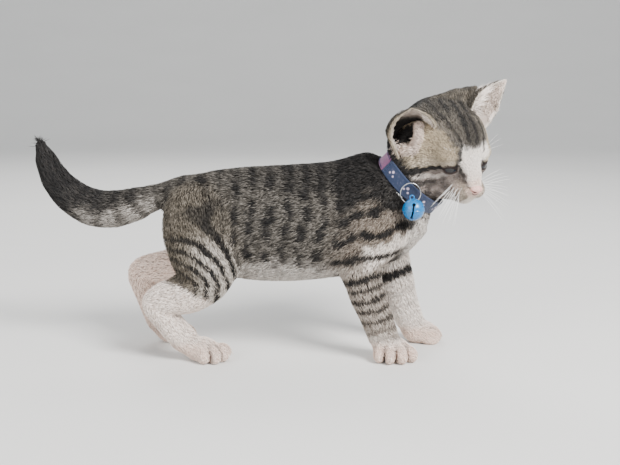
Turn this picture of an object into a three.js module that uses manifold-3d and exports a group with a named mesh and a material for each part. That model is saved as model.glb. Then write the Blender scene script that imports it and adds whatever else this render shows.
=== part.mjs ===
// A tabby and white kitten about nine weeks old, standing, with its head turned to its right.
// It wears a webbing collar with a small bell. Millimetres, +Z up, +X towards the chest, +Y to
// the kitten's left. The origin is on the floor, under the centre of the whole model's box.
//
// The body is one smooth form, given by a function that is negative inside it. Each named piece
// is that form meshed at its own cell size, and cut from its neighbours along the surface where
// the two pieces' own forms are equally near.

import * as THREE from "three";
import { mergeVertices } from "three/addons/utils/BufferGeometryUtils.js";
import Module from "manifold-3d";

const wasm = await Module();
wasm.setup();

// ---------------------------------------------------------------- driving dimensions

const SEAM = 0.35; // clear space between two pieces that meet
const RIGHT = -1; // the kitten's right side is at -Y
const LEFT = 1;

// Outline of the trunk from rump to breast: station, top, underside and half width.
const TRUNK = [
  { x: -92, top: 107, low: 90, half: 8 },
  { x: -84, top: 112, low: 70, half: 16 },
  { x: -66, top: 118, low: 56, half: 22 },
  { x: -44, top: 121, low: 49, half: 24 },
  { x: -18, top: 122.5, low: 47.5, half: 27.5 },
  { x: 6, top: 124, low: 49, half: 28 },
  { x: 28, top: 126.5, low: 52, half: 25.5 },
  { x: 46, top: 126, low: 57, half: 22.5 },
  { x: 60, top: 119, low: 64, half: 19 },
  { x: 70, top: 104, low: 74, half: 13 },
  { x: 75, top: 96, low: 83, half: 7 },
];

// Neck, from between the shoulders to the back of the skull.
const NECK = [
  { at: [46, 0, 107], r: 22 },
  { at: [62, -1, 115], r: 20.5 },
  { at: [69, 1, 135], r: 20 },
];

// Tail, from its root to its tip.
const TAIL = [
  { at: [-80, 0, 105], r: 10 },
  { at: [-95, 0, 103], r: 7.8 },
  { at: [-103, 0, 100.5], r: 8.8 },
  { at: [-115, 1, 96.4], r: 11 },
  { at: [-128, 2, 93.8], r: 12 },
  { at: [-141, 4, 95], r: 12 },
  { at: [-153, 6, 101], r: 11 },
  { at: [-163, 8, 110.5], r: 9.4 },
  { at: [-169, 9, 122], r: 7.4 },
  { at: [-173, 9, 134], r: 3.6 },
];

// Each leg is a chain of joints in the side view, at one distance from the middle plane.
// flat is the leg's width seen from the front over its width seen from the side. The cuts are
// places in the side view where the leg is divided, and how far each lean is from level.
const FORELEGS = {
  right: {
    side: RIGHT,
    offset: 19,
    flat: 0.86,
    bulk: { at: [33, 15, 87], radii: [15, 12.5, 25], tilt: 20 },
    joints: [
      { x: 44, z: 84, r: 17 },
      { x: 32, z: 64, r: 13.5 },
      { x: 35, z: 46, r: 11.4 },
      { x: 42, z: 28, r: 10.2 },
      { x: 46, z: 17, r: 9.8 },
    ],
    paw: { x: 53.5, z: 7, long: 25, wide: 19, turn: -32 },
    cuts: [
      { at: [34, 57], lean: 8 },
      { at: [46, 18], lean: 22 },
    ],
  },
  left: {
    side: LEFT,
    offset: 19,
    flat: 0.86,
    bulk: { at: [42, 15.5, 88], radii: [15, 12.5, 25], tilt: 18 },
    joints: [
      { x: 52, z: 84, r: 16 },
      { x: 53, z: 64, r: 13 },
      { x: 58, z: 46, r: 11.2 },
      { x: 63, z: 28, r: 10 },
      { x: 67, z: 17, r: 9.6 },
    ],
    paw: { x: 75.5, z: 7, long: 25, wide: 19, turn: 4 },
    cuts: [
      { at: [55, 57], lean: 10 },
      { at: [67, 18], lean: 22 },
    ],
  },
};
const HINDLEGS = {
  right: {
    side: RIGHT,
    offset: 20,
    flat: 0.8,
    bulk: { at: [-67, 15.5, 80], radii: [25, 13.5, 33], tilt: -14 },
    joints: [
      { x: -66, z: 66, r: 19 },
      { x: -63, z: 55, r: 14.5 },
      { x: -75, z: 45, r: 13.5 },
      { x: -88, z: 41, r: 11.4 },
      { x: -96.5, z: 37.5, r: 9.2 },
      { x: -90, z: 26, r: 8.6 },
      { x: -80.5, z: 14.2, r: 8.6 },
    ],
    paw: { x: -68, z: 7, long: 26, wide: 18, turn: -20 },
    cuts: [
      { at: [-72, 50], lean: -45 },
      { at: [-91, 25], lean: 10 },
    ],
  },
  left: {
    side: LEFT,
    offset: 20,
    flat: 0.8,
    bulk: { at: [-69, 15.5, 80], radii: [25, 13.5, 33], tilt: -10 },
    joints: [
      { x: -70, z: 68, r: 19 },
      { x: -74, z: 58, r: 14.5 },
      { x: -90, z: 53, r: 12 },
      { x: -104, z: 51, r: 10.4 },
      { x: -113.5, z: 48.5, r: 8.8 },
      { x: -109, z: 31, r: 8.4 },
      { x: -103, z: 15, r: 8.4 },
    ],
    paw: { x: -92, z: 7, long: 25, wide: 18, turn: 8 },
    cuts: [
      { at: [-83, 55], lean: -56 },
      { at: [-109, 32], lean: 8 },
    ],
  },
};

// The head has its own frame: +X to the nose, +Y to its left, +Z to the crown, with the origin
// in the middle of the skull.
const HEAD = { at: [86, -4, 139.3], yaw: -62.9, pitch: 25.6, roll: 3.7 };
const SKULL = { at: [-5, 0, 0], radii: [30, 25.5, 23] };
const EYE = { at: [21.6, 10, -6], r: 5.6 };
const NOSE = { at: [39.6, 0, -13.2], radii: [2.8, 4.3, 3.3] };
const EARS = {
  right: { base: [-5, -25, -1], tip: [0, -38.5, 25], open: [0.85, -0.45, 0.1], half: 15, deep: 13 },
  left: { base: [-8, 20, 12.5], tip: [-6, 38.5, 35.5], open: [0.95, 0.1, 0], half: 13.5, deep: 15 },
};
const EAR_WALL = 1.8;

// The collar is an oval band round the neck, square to the neck's own line.
const COLLAR = {
  at: [64.2, -1, 112.6],
  along: [0.66, -0.25, 0.71], // the direction in which the neck passes through it
  tall: 22.6, // half its inside length from nape to throat
  across: 21.6, // half its inside length from side to side
  wide: 10,
  thick: 1.3,
};
// Places on the collar are in degrees from the throat round the kitten's right side.
const PINK = { from: 148, to: 212 }; // the pink length, over the nape
const LUG = { at: 97, long: 14, wide: 2.2, thick: 1.6 }; // plastic end below the band
const RING = { at: 88, out: 4.1, up: 1, lean: 16, radius: 6.2, wire: 0.55 };
const BELL = { at: [62.4, -33.8, 98.4], r: 6.7, slot: 1.3 };

// ---------------------------------------------------------------- forms

const radians = THREE.MathUtils.degToRad;
const mix = (a, b, t) => a + (b - a) * t;
const clamp = (v, low, high) => Math.min(Math.max(v, low), high);
const vector = (v) => new THREE.Vector3(...v);

// Smooth union: the two forms run into each other over a width of about k.
function blend(a, b, k) {
  const h = clamp(0.5 + (0.5 * (b - a)) / k, 0, 1);
  return mix(b, a, h) - k * h * (1 - h);
}

const blendOf = (values, k) => values.reduce((a, b) => blend(a, b, k));
const blendAll = (forms, k) => (p) => blendOf(forms.map((form) => form(p)), k);

// An egg with three half lengths, turned by a quaternion if one is given.
function egg(at, radii, turn = null) {
  const centre = vector(at);
  const back = turn ? turn.clone().invert() : null;
  const q = new THREE.Vector3();
  return (p) => {
    q.copy(p).sub(centre);
    if (back) q.applyQuaternion(back);
    const near = Math.hypot(q.x / radii[0], q.y / radii[1], q.z / radii[2]);
    const slope = Math.hypot(q.x / radii[0] ** 2, q.y / radii[1] ** 2, q.z / radii[2] ** 2);
    return slope < 1e-9 ? -Math.min(...radii) : (near * (near - 1)) / slope;
  };
}

// A limb along a smooth curve through its joints, with a radius at each joint.
function limb(joints, flat = 1, steps = 4) {
  const curve = new THREE.CatmullRomCurve3(
    joints.map((j) => vector(j.at)),
    false,
    "centripetal",
  );
  const count = (joints.length - 1) * steps;
  const line = Array.from({ length: count + 1 }, (_, i) => {
    const at = curve.getPoint(i / count);
    const j = Math.min(Math.floor(i / steps), joints.length - 2);
    const t = i / steps - j;
    return { at, r: mix(joints[j].r, joints[j + 1].r, t * t * (3 - 2 * t)) };
  });
  return (p) => {
    let nearest = Infinity;
    for (let i = 0; i < count; i++) {
      const a = line[i];
      const b = line[i + 1];
      const dx = b.at.x - a.at.x;
      const dy = b.at.y - a.at.y;
      const dz = b.at.z - a.at.z;
      const along = (p.x - a.at.x) * dx + (p.y - a.at.y) * dy + (p.z - a.at.z) * dz;
      const t = clamp(along / (dx * dx + dy * dy + dz * dz), 0, 1);
      const gap = Math.hypot(
        p.x - a.at.x - t * dx,
        (p.y - a.at.y - t * dy) / flat,
        p.z - a.at.z - t * dz,
      );
      nearest = Math.min(nearest, gap - mix(a.r, b.r, t));
    }
    return nearest;
  };
}

// The trunk: at each station an upright oval, with smooth outlines between the stations.
function barrel(stations) {
  const outline = (key) =>
    new THREE.SplineCurve(stations.map((s) => new THREE.Vector2(s.x, s[key])));
  const samples = 120;
  const table = Object.fromEntries(
    ["top", "low", "half"].map((key) => [key, outline(key).getPoints(samples)]),
  );
  const first = stations[0].x;
  const last = stations[stations.length - 1].x;
  const read = (points, x) => {
    let low = 0;
    let high = samples;
    while (high - low > 1) {
      const middle = (low + high) >> 1;
      if (points[middle].x <= x) low = middle;
      else high = middle;
    }
    const t = (x - points[low].x) / (points[high].x - points[low].x);
    return mix(points[low].y, points[high].y, clamp(t, 0, 1));
  };
  return (p) => {
    const x = clamp(p.x, first, last);
    const top = read(table.top, x);
    const low = read(table.low, x);
    const half = read(table.half, x);
    const tall = (top - low) / 2;
    const z = p.z - (top + low) / 2;
    const ratio = Math.hypot(z / tall, p.y / half);
    const slope = Math.hypot(z / tall ** 2, p.y / half ** 2);
    const round = slope < 1e-9 ? -half : (ratio * (ratio - 1)) / slope;
    const beyond = Math.abs(p.x - x);
    return beyond > 0 ? Math.hypot(beyond, Math.max(round, 0)) : Math.max(round, -half);
  };
}

// ---------------------------------------------------------------- the kitten's own forms

const turnAbout = (axis, degrees) =>
  new THREE.Quaternion().setFromAxisAngle(vector(axis), radians(degrees));

function pawForm({ x, z, long, wide, turn }, y) {
  const heading = turnAbout([0, 0, 1], turn);
  const place = (forward, across, up) =>
    vector([forward, across, 0]).applyQuaternion(heading).add(vector([x, y, up])).toArray();
  const pad = egg(place(-1, 0, z), [long * 0.46, wide * 0.48, 8], heading);
  const toes = [-0.38, -0.13, 0.13, 0.38].map((across) => {
    const reach = long * (0.3 - 0.55 * across * across);
    return egg(place(reach, across * wide, 4.9), [6.6, 3.4, 5.5], heading);
  });
  const front = blendAll(toes, 1);
  return (p) => blend(pad(p), front(p), 2.2);
}

function legForm({ side, offset, flat, bulk, joints, paw }) {
  const y = side * offset;
  const [x, out, z] = bulk.at;
  const shape = blendAll(
    [
      egg([x, side * out, z], bulk.radii, turnAbout([0, 1, 0], bulk.tilt)),
      limb(joints.map((j) => ({ at: [j.x, y, j.z], r: j.r })), flat),
    ],
    7,
  );
  const foot = pawForm(paw, y);
  return (p) => blend(shape(p), foot(p), 4.5);
}

const HEAD_TURN = new THREE.Quaternion().setFromEuler(
  new THREE.Euler(radians(HEAD.roll), radians(HEAD.pitch), radians(HEAD.yaw), "ZYX"),
);

// A point of the head's frame, in the whole model's frame, and the turn of the head alone.
const fromHead = (v) => vector(v).applyQuaternion(HEAD_TURN).add(vector(HEAD.at));
const turned = (v) => vector(v).applyQuaternion(HEAD_TURN);

const inHead = (form) => {
  const back = HEAD_TURN.clone().invert();
  const centre = vector(HEAD.at);
  const q = new THREE.Vector3();
  return (p) => form(q.copy(p).sub(centre).applyQuaternion(back));
};

function headForm() {
  const pair = (at, radii) =>
    [RIGHT, LEFT].map((side) => egg([at[0], side * at[1], at[2]], radii));
  const cranium = blendAll(
    [
      egg(SKULL.at, SKULL.radii),
      egg([10, 0, 4.5], [18, 16, 14.5]),
      ...pair([5, 13.5, -11], [16, 11, 12.5]),
      ...pair([15, 7.5, -20.5], [14.5, 9.5, 10]),
    ],
    8,
  );
  const muzzle = blendAll(
    [
      egg([25, 0, -16], [12, 10.5, 9]),
      ...pair([31.5, 5.2, -17.6], [7.4, 5.9, 5.4]),
      egg([27.5, 0, -23.4], [8.5, 6.6, 5.2]),
      limb([
        { at: [20, 0, -1], r: 7 },
        { at: [28.5, 0, -6], r: 7 },
        { at: [36.2, 0, -12.6], r: 4.5 },
      ]),
    ],
    3.2,
  );
  const brows = blendAll(pair([20, 10.5, 1.4], [6, 7.5, 5]), 1);
  const sockets = pair([31.5, 12.2, -6], [6, 5.5, 3.8]).concat(pair([2, 31, 4], [8, 6.5, 9]));
  return (p) => {
    const whole = blendOf([cranium(p), muzzle(p), brows(p)], 4.5);
    return sockets.reduce((d, socket) => -blend(-d, socket(p), 3), whole);
  };
}

const trunkForm = barrel(TRUNK);
const neckForm = limb(NECK);
const tailForm = limb(TAIL);
const skullForm = inHead(headForm());
const legs = {
  fore_right: { ...FORELEGS.right, form: legForm(FORELEGS.right) },
  fore_left: { ...FORELEGS.left, form: legForm(FORELEGS.left) },
  hind_right: { ...HINDLEGS.right, form: legForm(HINDLEGS.right) },
  hind_left: { ...HINDLEGS.left, form: legForm(HINDLEGS.left) },
};

// The whole body as one form.
function body(p) {
  const torso = blend(trunkForm(p), neckForm(p), 16);
  const rear = blend(torso, tailForm(p), 7);
  const stood = Object.values(legs).reduce((d, leg) => blend(d, leg.form(p), 9), rear);
  return blend(stood, skullForm(p), 8);
}

// ---------------------------------------------------------------- meshing and cutting

const solidOf = (points, faces) =>
  new wasm.Manifold(
    new wasm.Mesh({
      numProp: 3,
      vertProperties: new Float32Array(points.flatMap((v) => [v.x, v.y, v.z])),
      triVerts: new Uint32Array(faces),
    }),
  );

const CORNERS = [0, 1, 2, 3, 4, 5, 6, 7].map((c) => [c & 1, (c >> 1) & 1, (c >> 2) & 1]);
const EDGES = CORNERS.flatMap((a, m) =>
  CORNERS.filter((b, n) => m < n && a.filter((v, i) => v !== b[i]).length === 1).map((b) => [a, b]),
);
const FACES = [0, 1, 2].flatMap((axis) =>
  [0, 1].map((v) => [0, 1, 2, 3, 4, 5, 6, 7].filter((c) => CORNERS[c][axis] === v)),
);

// Meshes the surface where a form is zero, in the cells of a grid over a box. Outside the box
// counts as outside the form, so the mesh is closed. A cell is given by its three lengths.
function mesh(form, [low, high], cell) {
  const size = low.map((v, i) => Math.ceil((high[i] - v) / cell[i]) + 1);
  const [nx, ny, nz] = size;
  const index = (i, j, k) => (k * ny + j) * nx + i;
  const each = (last, visit) => {
    for (let k = 0; k < nz - last; k++)
      for (let j = 0; j < ny - last; j++) for (let i = 0; i < nx - last; i++) visit(i, j, k);
  };
  const place = (i, j, k) => vector([i, j, k].map((v, n) => low[n] + v * cell[n]));
  const value = new Float64Array(nx * ny * nz);
  each(0, (i, j, k) => {
    const border = [i, j, k].some((v, n) => v === 0 || v === size[n] - 1);
    const d = form(place(i, j, k));
    value[index(i, j, k)] = border ? Math.max(d, 1) : d;
  });
  fillPinches(value, each, index);

  const points = [];
  const pointOf = new Int32Array(value.length).fill(-1);
  each(1, (i, j, k) => {
    const sum = new THREE.Vector3();
    let crossings = 0;
    for (const [a, b] of EDGES) {
      const va = value[index(i + a[0], j + a[1], k + a[2])];
      const vb = value[index(i + b[0], j + b[1], k + b[2])];
      if (va < 0 === vb < 0) continue;
      const t = va / (va - vb);
      sum.add(place(...[i, j, k].map((v, n) => v + mix(a[n], b[n], t))));
      crossings++;
    }
    if (!crossings) return;
    pointOf[index(i, j, k)] = points.length;
    const at = sum.divideScalar(crossings);
    const inner = [i, j, k].every((v, n) => v > 0 && v < size[n] - 2);
    points.push(inner ? settle(form, at, Math.min(...cell)) : at);
  });

  const faces = [];
  const addQuad = (a, b, c, d) => {
    const [A, B, C, D] = [a, b, c, d].map((v) => points[v]);
    if (A.distanceToSquared(C) <= B.distanceToSquared(D)) faces.push(a, b, c, a, c, d);
    else faces.push(a, b, d, b, c, d);
  };
  each(1, (i, j, k) => {
    const here = value[index(i, j, k)] < 0;
    const around = [
      [value[index(i + 1, j, k)] < 0, [0, -1, -1], [0, 0, -1], [0, 0, 0], [0, -1, 0]],
      [value[index(i, j + 1, k)] < 0, [-1, 0, -1], [-1, 0, 0], [0, 0, 0], [0, 0, -1]],
      [value[index(i, j, k + 1)] < 0, [-1, -1, 0], [0, -1, 0], [0, 0, 0], [-1, 0, 0]],
    ];
    for (const [there, ...cells] of around) {
      if (here === there) continue;
      const ring = cells.map(([a, b, c]) => pointOf[index(i + a, j + b, k + c)]);
      addQuad(...(here ? ring : ring.reverse()));
    }
  });
  return solidOf(points, faces);
}

// Fills the grid points where the form would touch itself along an edge or at a corner only.
function fillPinches(value, each, index) {
  const inside = (n) => value[n] < 0;
  const isPinched = (cell) => {
    const face = FACES.some((corners) => {
      const [A, B, C, D] = corners.map((n) => inside(cell[n]));
      return A === D && B === C && A !== B;
    });
    const across = [0, 1, 2, 3].some((n) => {
      const state = inside(cell[n]);
      const rest = cell.filter((_, m) => m !== n && m !== 7 - n);
      return state === inside(cell[7 - n]) && rest.every((m) => inside(m) !== state);
    });
    return face || across;
  };
  for (let changed = true; changed; ) {
    changed = false;
    each(1, (i, j, k) => {
      const cell = CORNERS.map(([a, b, c]) => index(i + a, j + b, k + c));
      if (!isPinched(cell)) return;
      const outside = cell.filter((n) => !inside(n));
      value[outside.reduce((a, b) => (value[a] < value[b] ? a : b))] = -0.05;
      changed = true;
    });
  }
}

// Moves a point on to the surface itself, by at most half a cell.
function settle(form, start, cell) {
  const at = start.clone();
  const step = 0.05;
  const probe = new THREE.Vector3();
  for (let turn = 0; turn < 3; turn++) {
    const d = form(at);
    const slope = vector([
      form(probe.copy(at).setX(at.x + step)) - d,
      form(probe.copy(at).setY(at.y + step)) - d,
      form(probe.copy(at).setZ(at.z + step)) - d,
    ]).divideScalar(step);
    at.addScaledVector(slope, -d / Math.max(slope.lengthSq(), 0.25));
  }
  const moved = at.clone().sub(start).clampLength(0, cell / 2);
  return start.clone().add(moved);
}

// The part of a solid beyond a plane, short of it by a margin.
function beyond(solid, normal, at, margin = SEAM / 2) {
  const n = vector(normal).normalize();
  return solid.trimByPlane(n.toArray(), n.dot(vector(at)) + margin);
}

const before = (solid, normal, at) => beyond(solid, normal.map((v) => -v), at);

// The largest of the bodies that a cut leaves.
const largest = (solid) =>
  solid.decompose().reduce((best, piece) => (piece.volume() > best.volume() ? piece : best));

function geometryOf(solid) {
  const { vertProperties, triVerts, numProp } = solid.getMesh();
  const at = new Float32Array((vertProperties.length / numProp) * 3);
  for (let i = 0; i < at.length / 3; i++)
    at.set(vertProperties.subarray(i * numProp, i * numProp + 3), i * 3);
  const geometry = new THREE.BufferGeometry();
  geometry.setAttribute("position", new THREE.BufferAttribute(at, 3));
  geometry.setIndex(new THREE.BufferAttribute(new Uint32Array(triVerts), 1));
  geometry.computeVertexNormals();
  return geometry;
}

// The same solid with every corner moved outwards.
function swollen(solid, by) {
  const geometry = geometryOf(solid);
  const { position, normal } = geometry.attributes;
  const points = Array.from({ length: position.count }, (_, i) =>
    new THREE.Vector3()
      .fromBufferAttribute(position, i)
      .addScaledVector(new THREE.Vector3().fromBufferAttribute(normal, i), by),
  );
  return solidOf(points, Array.from(geometry.getIndex().array));
}

function fromGeometry(geometry, matrix = new THREE.Matrix4()) {
  geometry.deleteAttribute("normal");
  geometry.deleteAttribute("uv");
  const merged = mergeVertices(geometry.applyMatrix4(matrix), 1e-4);
  const at = merged.getAttribute("position");
  const points = Array.from({ length: at.count }, (_, i) =>
    new THREE.Vector3().fromBufferAttribute(at, i),
  );
  return solidOf(points, Array.from(merged.getIndex().array));
}

// A ball or an egg, as a mesh of its own.
function roundSolid(at, radii, turn = new THREE.Quaternion(), detail = 3) {
  const matrix = new THREE.Matrix4().compose(at, turn, vector(radii));
  return fromGeometry(new THREE.IcosahedronGeometry(1, detail), matrix);
}

// A solid through a row of loops of points, closed by a cap at each end or back on itself. The
// loops may run either way round.
function loft(loops, closed = false) {
  const n = loops[0].length;
  const faces = [];
  const rows = closed ? loops.length : loops.length - 1;
  for (let r = 0; r < rows; r++)
    for (let i = 0; i < n; i++) {
      const [a, b] = [i, (i + 1) % n].map((v) => r * n + v);
      const [c, d] = [i, (i + 1) % n].map((v) => ((r + 1) % loops.length) * n + v);
      faces.push(a, b, d, a, d, c);
    }
  const points = loops.flat();
  if (!closed)
    [0, loops.length - 1].forEach((r, end) => {
      for (let i = 0; i < n / 2 - 1; i++) {
        const [a, b, c, d] = [i, i + 1, n - 2 - i, n - 1 - i].map((v) => r * n + v);
        const quad = b === c ? [a, b, d] : [a, b, c, a, c, d];
        for (let t = 0; t < quad.length; t += 3) {
          const face = quad.slice(t, t + 3);
          faces.push(...(end ? face : face.reverse()));
        }
      }
    });
  const solid = solidOf(points, faces);
  return solid.volume() > 0 ? solid : solidOf(points, faces.reverse());
}

// ---------------------------------------------------------------- materials and nodes

const finish = (color, roughness, metalness = 0) =>
  new THREE.MeshStandardMaterial({ color, roughness, metalness });
const FUR = finish(0x7d7268, 0.9);
const PALE_FUR = finish(0xd8cfc4, 0.9);
const HEAD_FUR = finish(0xa2937f, 0.9);
const DARK_FUR = finish(0x3c3734, 0.9);

const group = new THREE.Group();
const nodes = new THREE.Group();
group.add(nodes);

function add(name, solid, material) {
  const node = new THREE.Mesh(geometryOf(largest(solid)), material);
  node.name = name;
  nodes.add(node);
}

// ---------------------------------------------------------------- collar

const neckLine = vector(COLLAR.along).normalize();
const toThroat = new THREE.Vector3().crossVectors(vector([0, 1, 0]), neckLine).normalize();
const toLeft = new THREE.Vector3().crossVectors(neckLine, toThroat).normalize();

// A place on the collar: degrees from the throat round its right side, millimetres outwards
// from its inner face, and millimetres towards the head.
function onCollar(degrees, outward, up = 0) {
  const t = radians(degrees);
  const [a, b] = [COLLAR.tall, COLLAR.across];
  const out = new THREE.Vector2(Math.cos(t) / a, Math.sin(t) / b).normalize();
  return vector(COLLAR.at)
    .addScaledVector(toThroat, a * Math.cos(t) + outward * out.x)
    .addScaledVector(toLeft, -b * Math.sin(t) - outward * out.y)
    .addScaledVector(neckLine, up);
}

// A band that follows the collar: between two distances from its inner face, about a line
// that lies some way towards the head.
function band(inner, outer, wide, from, to, steps, up = 0) {
  const closed = to - from >= 360;
  const count = closed ? steps : steps + 1;
  const loops = Array.from({ length: count }, (_, i) => {
    const t = mix(from, to, i / steps);
    const edge = Math.min(0.35, (outer - inner) / 4);
    return [
      [inner, -wide / 2],
      [inner, wide / 2],
      [outer - edge, wide / 2],
      [outer, wide / 2 - edge * 1.6],
      [outer, -wide / 2 + edge * 1.6],
      [outer - edge, -wide / 2],
    ].map(([out, rise]) => onCollar(t, out, up + rise));
  });
  return loft(loops, closed);
}

const lugTurn = LUG.long / 2;
const lugUp = -COLLAR.wide / 2 - SEAM - LUG.wide / 2;
const lugSpace = [LUG.wide + 2 * SEAM, LUG.at - lugTurn - 1, LUG.at + lugTurn + 1, 4, lugUp];
const groove = band(-SEAM, 12, COLLAR.wide + 2 * SEAM, 0, 360, 28).add(
  band(-SEAM, 12, ...lugSpace),
);

// ---------------------------------------------------------------- body pieces

const neckTop = [COLLAR.along, vector(COLLAR.at).addScaledVector(neckLine, 6.2).toArray()];
const neckLow = [[0.74, -0.12, 0.66], [57.2, 0, 104.8]];

// A piece's region is its own form with a margin. The region cut from the piece next to it is
// wider by this much, so that a seam stays open at its edges too.
const SEAM_CUT = SEAM * 1.3;

const cutters = [];
const LEG_MARGIN = 2.6;
for (const [name, leg] of Object.entries(legs)) {
  const [end, side] = name.split("_");
  const hind = end === "hind";
  const [x, , z] = leg.bulk.at;
  const box = [
    [x - 56, leg.side < 0 ? -44 : -2, -6],
    [x + 56, leg.side < 0 ? 2 : 44, z + 42],
  ];
  const field = (p) => Math.max(leg.form(p) - LEG_MARGIN, 0.8 - leg.side * p.y);
  const region = mesh(field, box, [10, 8, 10]);
  cutters.push(swollen(region, SEAM_CUT));
  const whole = before(largest(mesh(body, box, [8, 7, 9]).intersect(region)), ...neckLow);
  const [knee, ankle] = leg.cuts.map(({ at, lean }) => {
    const slope = radians(lean);
    return [[Math.sin(slope), 0, -Math.cos(slope)], [at[0], 0, at[1]]];
  });
  const footBox = [
    [leg.paw.x - 30, leg.side * leg.offset - 17, -5],
    [leg.paw.x + 20, leg.side * leg.offset + 17, ankle[1][2] + 12],
  ];
  const foot = beyond(mesh(body, footBox, [4.4, 3.8, 4.2]), ...ankle);
  const [upper, lower, paw] = hind
    ? ["thigh", "shank", "hind_foot"]
    : ["foreleg_upper", "foreleg_lower", "forepaw"];
  add(`${upper}_${side}`, before(whole, ...knee), FUR);
  add(`${lower}_${side}`, before(beyond(whole, ...knee), ...ankle), hind ? PALE_FUR : FUR);
  add(`${paw}_${side}`, beyond(largest(foot), [0, 0, 1], [0, 0, 0], 0), PALE_FUR);
}

// Tail: cut from the rump, then divided twice.
const tailBox = [
  [-182, -16, 74],
  [-84, 26, 146],
];
const tailRoot = { normal: vector([-0.97, 0, -0.22]), at: vector([-94, 0, 103]) };
const offset = new THREE.Vector3();
const tailField = (p) =>
  Math.max(tailForm(p) - 2.4, -offset.copy(p).sub(tailRoot.at).dot(tailRoot.normal));
const tailRegion = mesh(tailField, tailBox, [9, 9, 9]);
const tail = mesh(body, tailBox, [7, 7, 7]).intersect(tailRegion);
const tailMiddle = [[-1, 0, 0.1], [-122, 0, 94]];
const tailEnd = [[-0.75, 0, 0.66], [-152, 0, 101]];
add("tail_base", before(tail, ...tailMiddle), FUR);
add("tail_middle", before(beyond(tail, ...tailMiddle), ...tailEnd), FUR);
add("tail_tip", beyond(beyond(tail, ...tailMiddle), ...tailEnd), DARK_FUR);

const trunkBox = [
  [-104, -40, 36],
  [92, 40, 140],
];
const trunk = [...cutters, swollen(tailRegion, SEAM_CUT), groove].reduce(
  (solid, cutter) => solid.subtract(cutter),
  mesh(body, trunkBox, [12, 9, 9]),
);
add("trunk", before(trunk, ...neckLow), FUR);

const neckBox = [
  [30, -36, 74],
  [104, 36, 150],
];
const neck = before(beyond(mesh(body, neckBox, [9, 9, 9]), ...neckLow), ...neckTop);
add("neck", neck.subtract(groove), FUR);

// ---------------------------------------------------------------- head pieces

const headBox = [
  [42, -52, 86],
  [124, 34, 172],
];
const headCell = [5.6, 5.6, 5.6];
const faceCell = [3.4, 3.4, 3.4];
const skullSkin = swollen(mesh(body, headBox, headCell), SEAM_CUT);
const eyeAt = (side) => fromHead([EYE.at[0], side * EYE.at[1], EYE.at[2]]);
const ball = (r) => [r, r, r];
const openings = [RIGHT, LEFT]
  .map((side) => roundSolid(eyeAt(side), ball(EYE.r + SEAM), HEAD_TURN, 2))
  .concat(roundSolid(fromHead(NOSE.at), NOSE.radii.map((r) => r + SEAM), HEAD_TURN, 1));
const behindEyes = [turned([1, 0, 0]).toArray(), fromHead([16, 0, 0]).toArray()];
const hollowed = (solid) => openings.reduce((left, opening) => left.subtract(opening), solid);
const aboveCollar = (cell) => beyond(mesh(body, headBox, cell), ...neckTop);
add("head", before(hollowed(aboveCollar(headCell)), ...behindEyes), HEAD_FUR);
add("face", beyond(hollowed(aboveCollar(faceCell)), ...behindEyes), HEAD_FUR);
const EYE_BLUE = finish(0x5f7584, 0.1);
add("eye_right", roundSolid(eyeAt(RIGHT), ball(EYE.r), HEAD_TURN, 2), EYE_BLUE);
add("eye_left", roundSolid(eyeAt(LEFT), ball(EYE.r), HEAD_TURN, 2), EYE_BLUE);
add("nose", roundSolid(fromHead(NOSE.at), NOSE.radii, HEAD_TURN, 1), finish(0xd79a92, 0.45));

// A cupped ear: rows of a curved wall from its root, below the skin, up to its tip.
function earSolid({ base, tip, open, half, deep }) {
  const root = fromHead(base);
  const length = fromHead(tip).distanceTo(root);
  const up = fromHead(tip).sub(root).normalize();
  const front = turned(open).projectOnPlane(up).normalize();
  const across = new THREE.Vector3().crossVectors(up, front);
  const rows = [-0.3, 0.05, 0.35, 0.62, 0.84, 1];
  const fan = [-1, -0.55, 0, 0.55, 1];
  return loft(
    rows.map((v) => {
      const rise = Math.max(v, 0);
      const w = half * (0.75 + 0.75 * Math.min(rise, 0.4)) * (1 - rise ** 1.9) + 1.3;
      const d = deep * (1 - rise) ** 1.2 + 0.9;
      const wall = Math.min(EAR_WALL, w * 0.55);
      const curl = radians(mix(104, 80, rise));
      const at = (u, inner) => {
        const [ww, dd] = [w - inner, d - inner];
        return root
          .clone()
          .addScaledVector(up, length * v)
          .addScaledVector(across, ww * Math.sin(u * curl))
          .addScaledVector(front, -dd * Math.cos(u * curl) + deep * 0.35 * (1 - rise));
      };
      return [...fan.map((u) => at(u, 0)), ...fan.map((u) => at(-u, wall))];
    }),
  );
}

add("ear_right", earSolid(EARS.right).subtract(skullSkin), HEAD_FUR);
add("ear_left", earSolid(EARS.left).subtract(skullSkin), HEAD_FUR);

// ---------------------------------------------------------------- collar pieces

const BLUE_WEBBING = finish(0x2c4f86, 0.75);
const PINK_WEBBING = finish(0xdba9c4, 0.75);
const STEEL = finish(0xc9ccd1, 0.3, 1);
const gapAngle = THREE.MathUtils.radToDeg(SEAM / COLLAR.tall);
const strap = (from, to, steps) => band(0, COLLAR.thick, COLLAR.wide, from, to, steps);
add("collar_band", strap(PINK.to - 360 + gapAngle, PINK.from - gapAngle, 30), BLUE_WEBBING);
add("collar_pink", strap(PINK.from, PINK.to, 7), PINK_WEBBING);
add(
  "collar_lug",
  band(0.1, LUG.thick, LUG.wide, LUG.at - lugTurn, LUG.at + lugTurn, 4, lugUp),
  finish(0xece9e4, 0.4),
);

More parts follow.
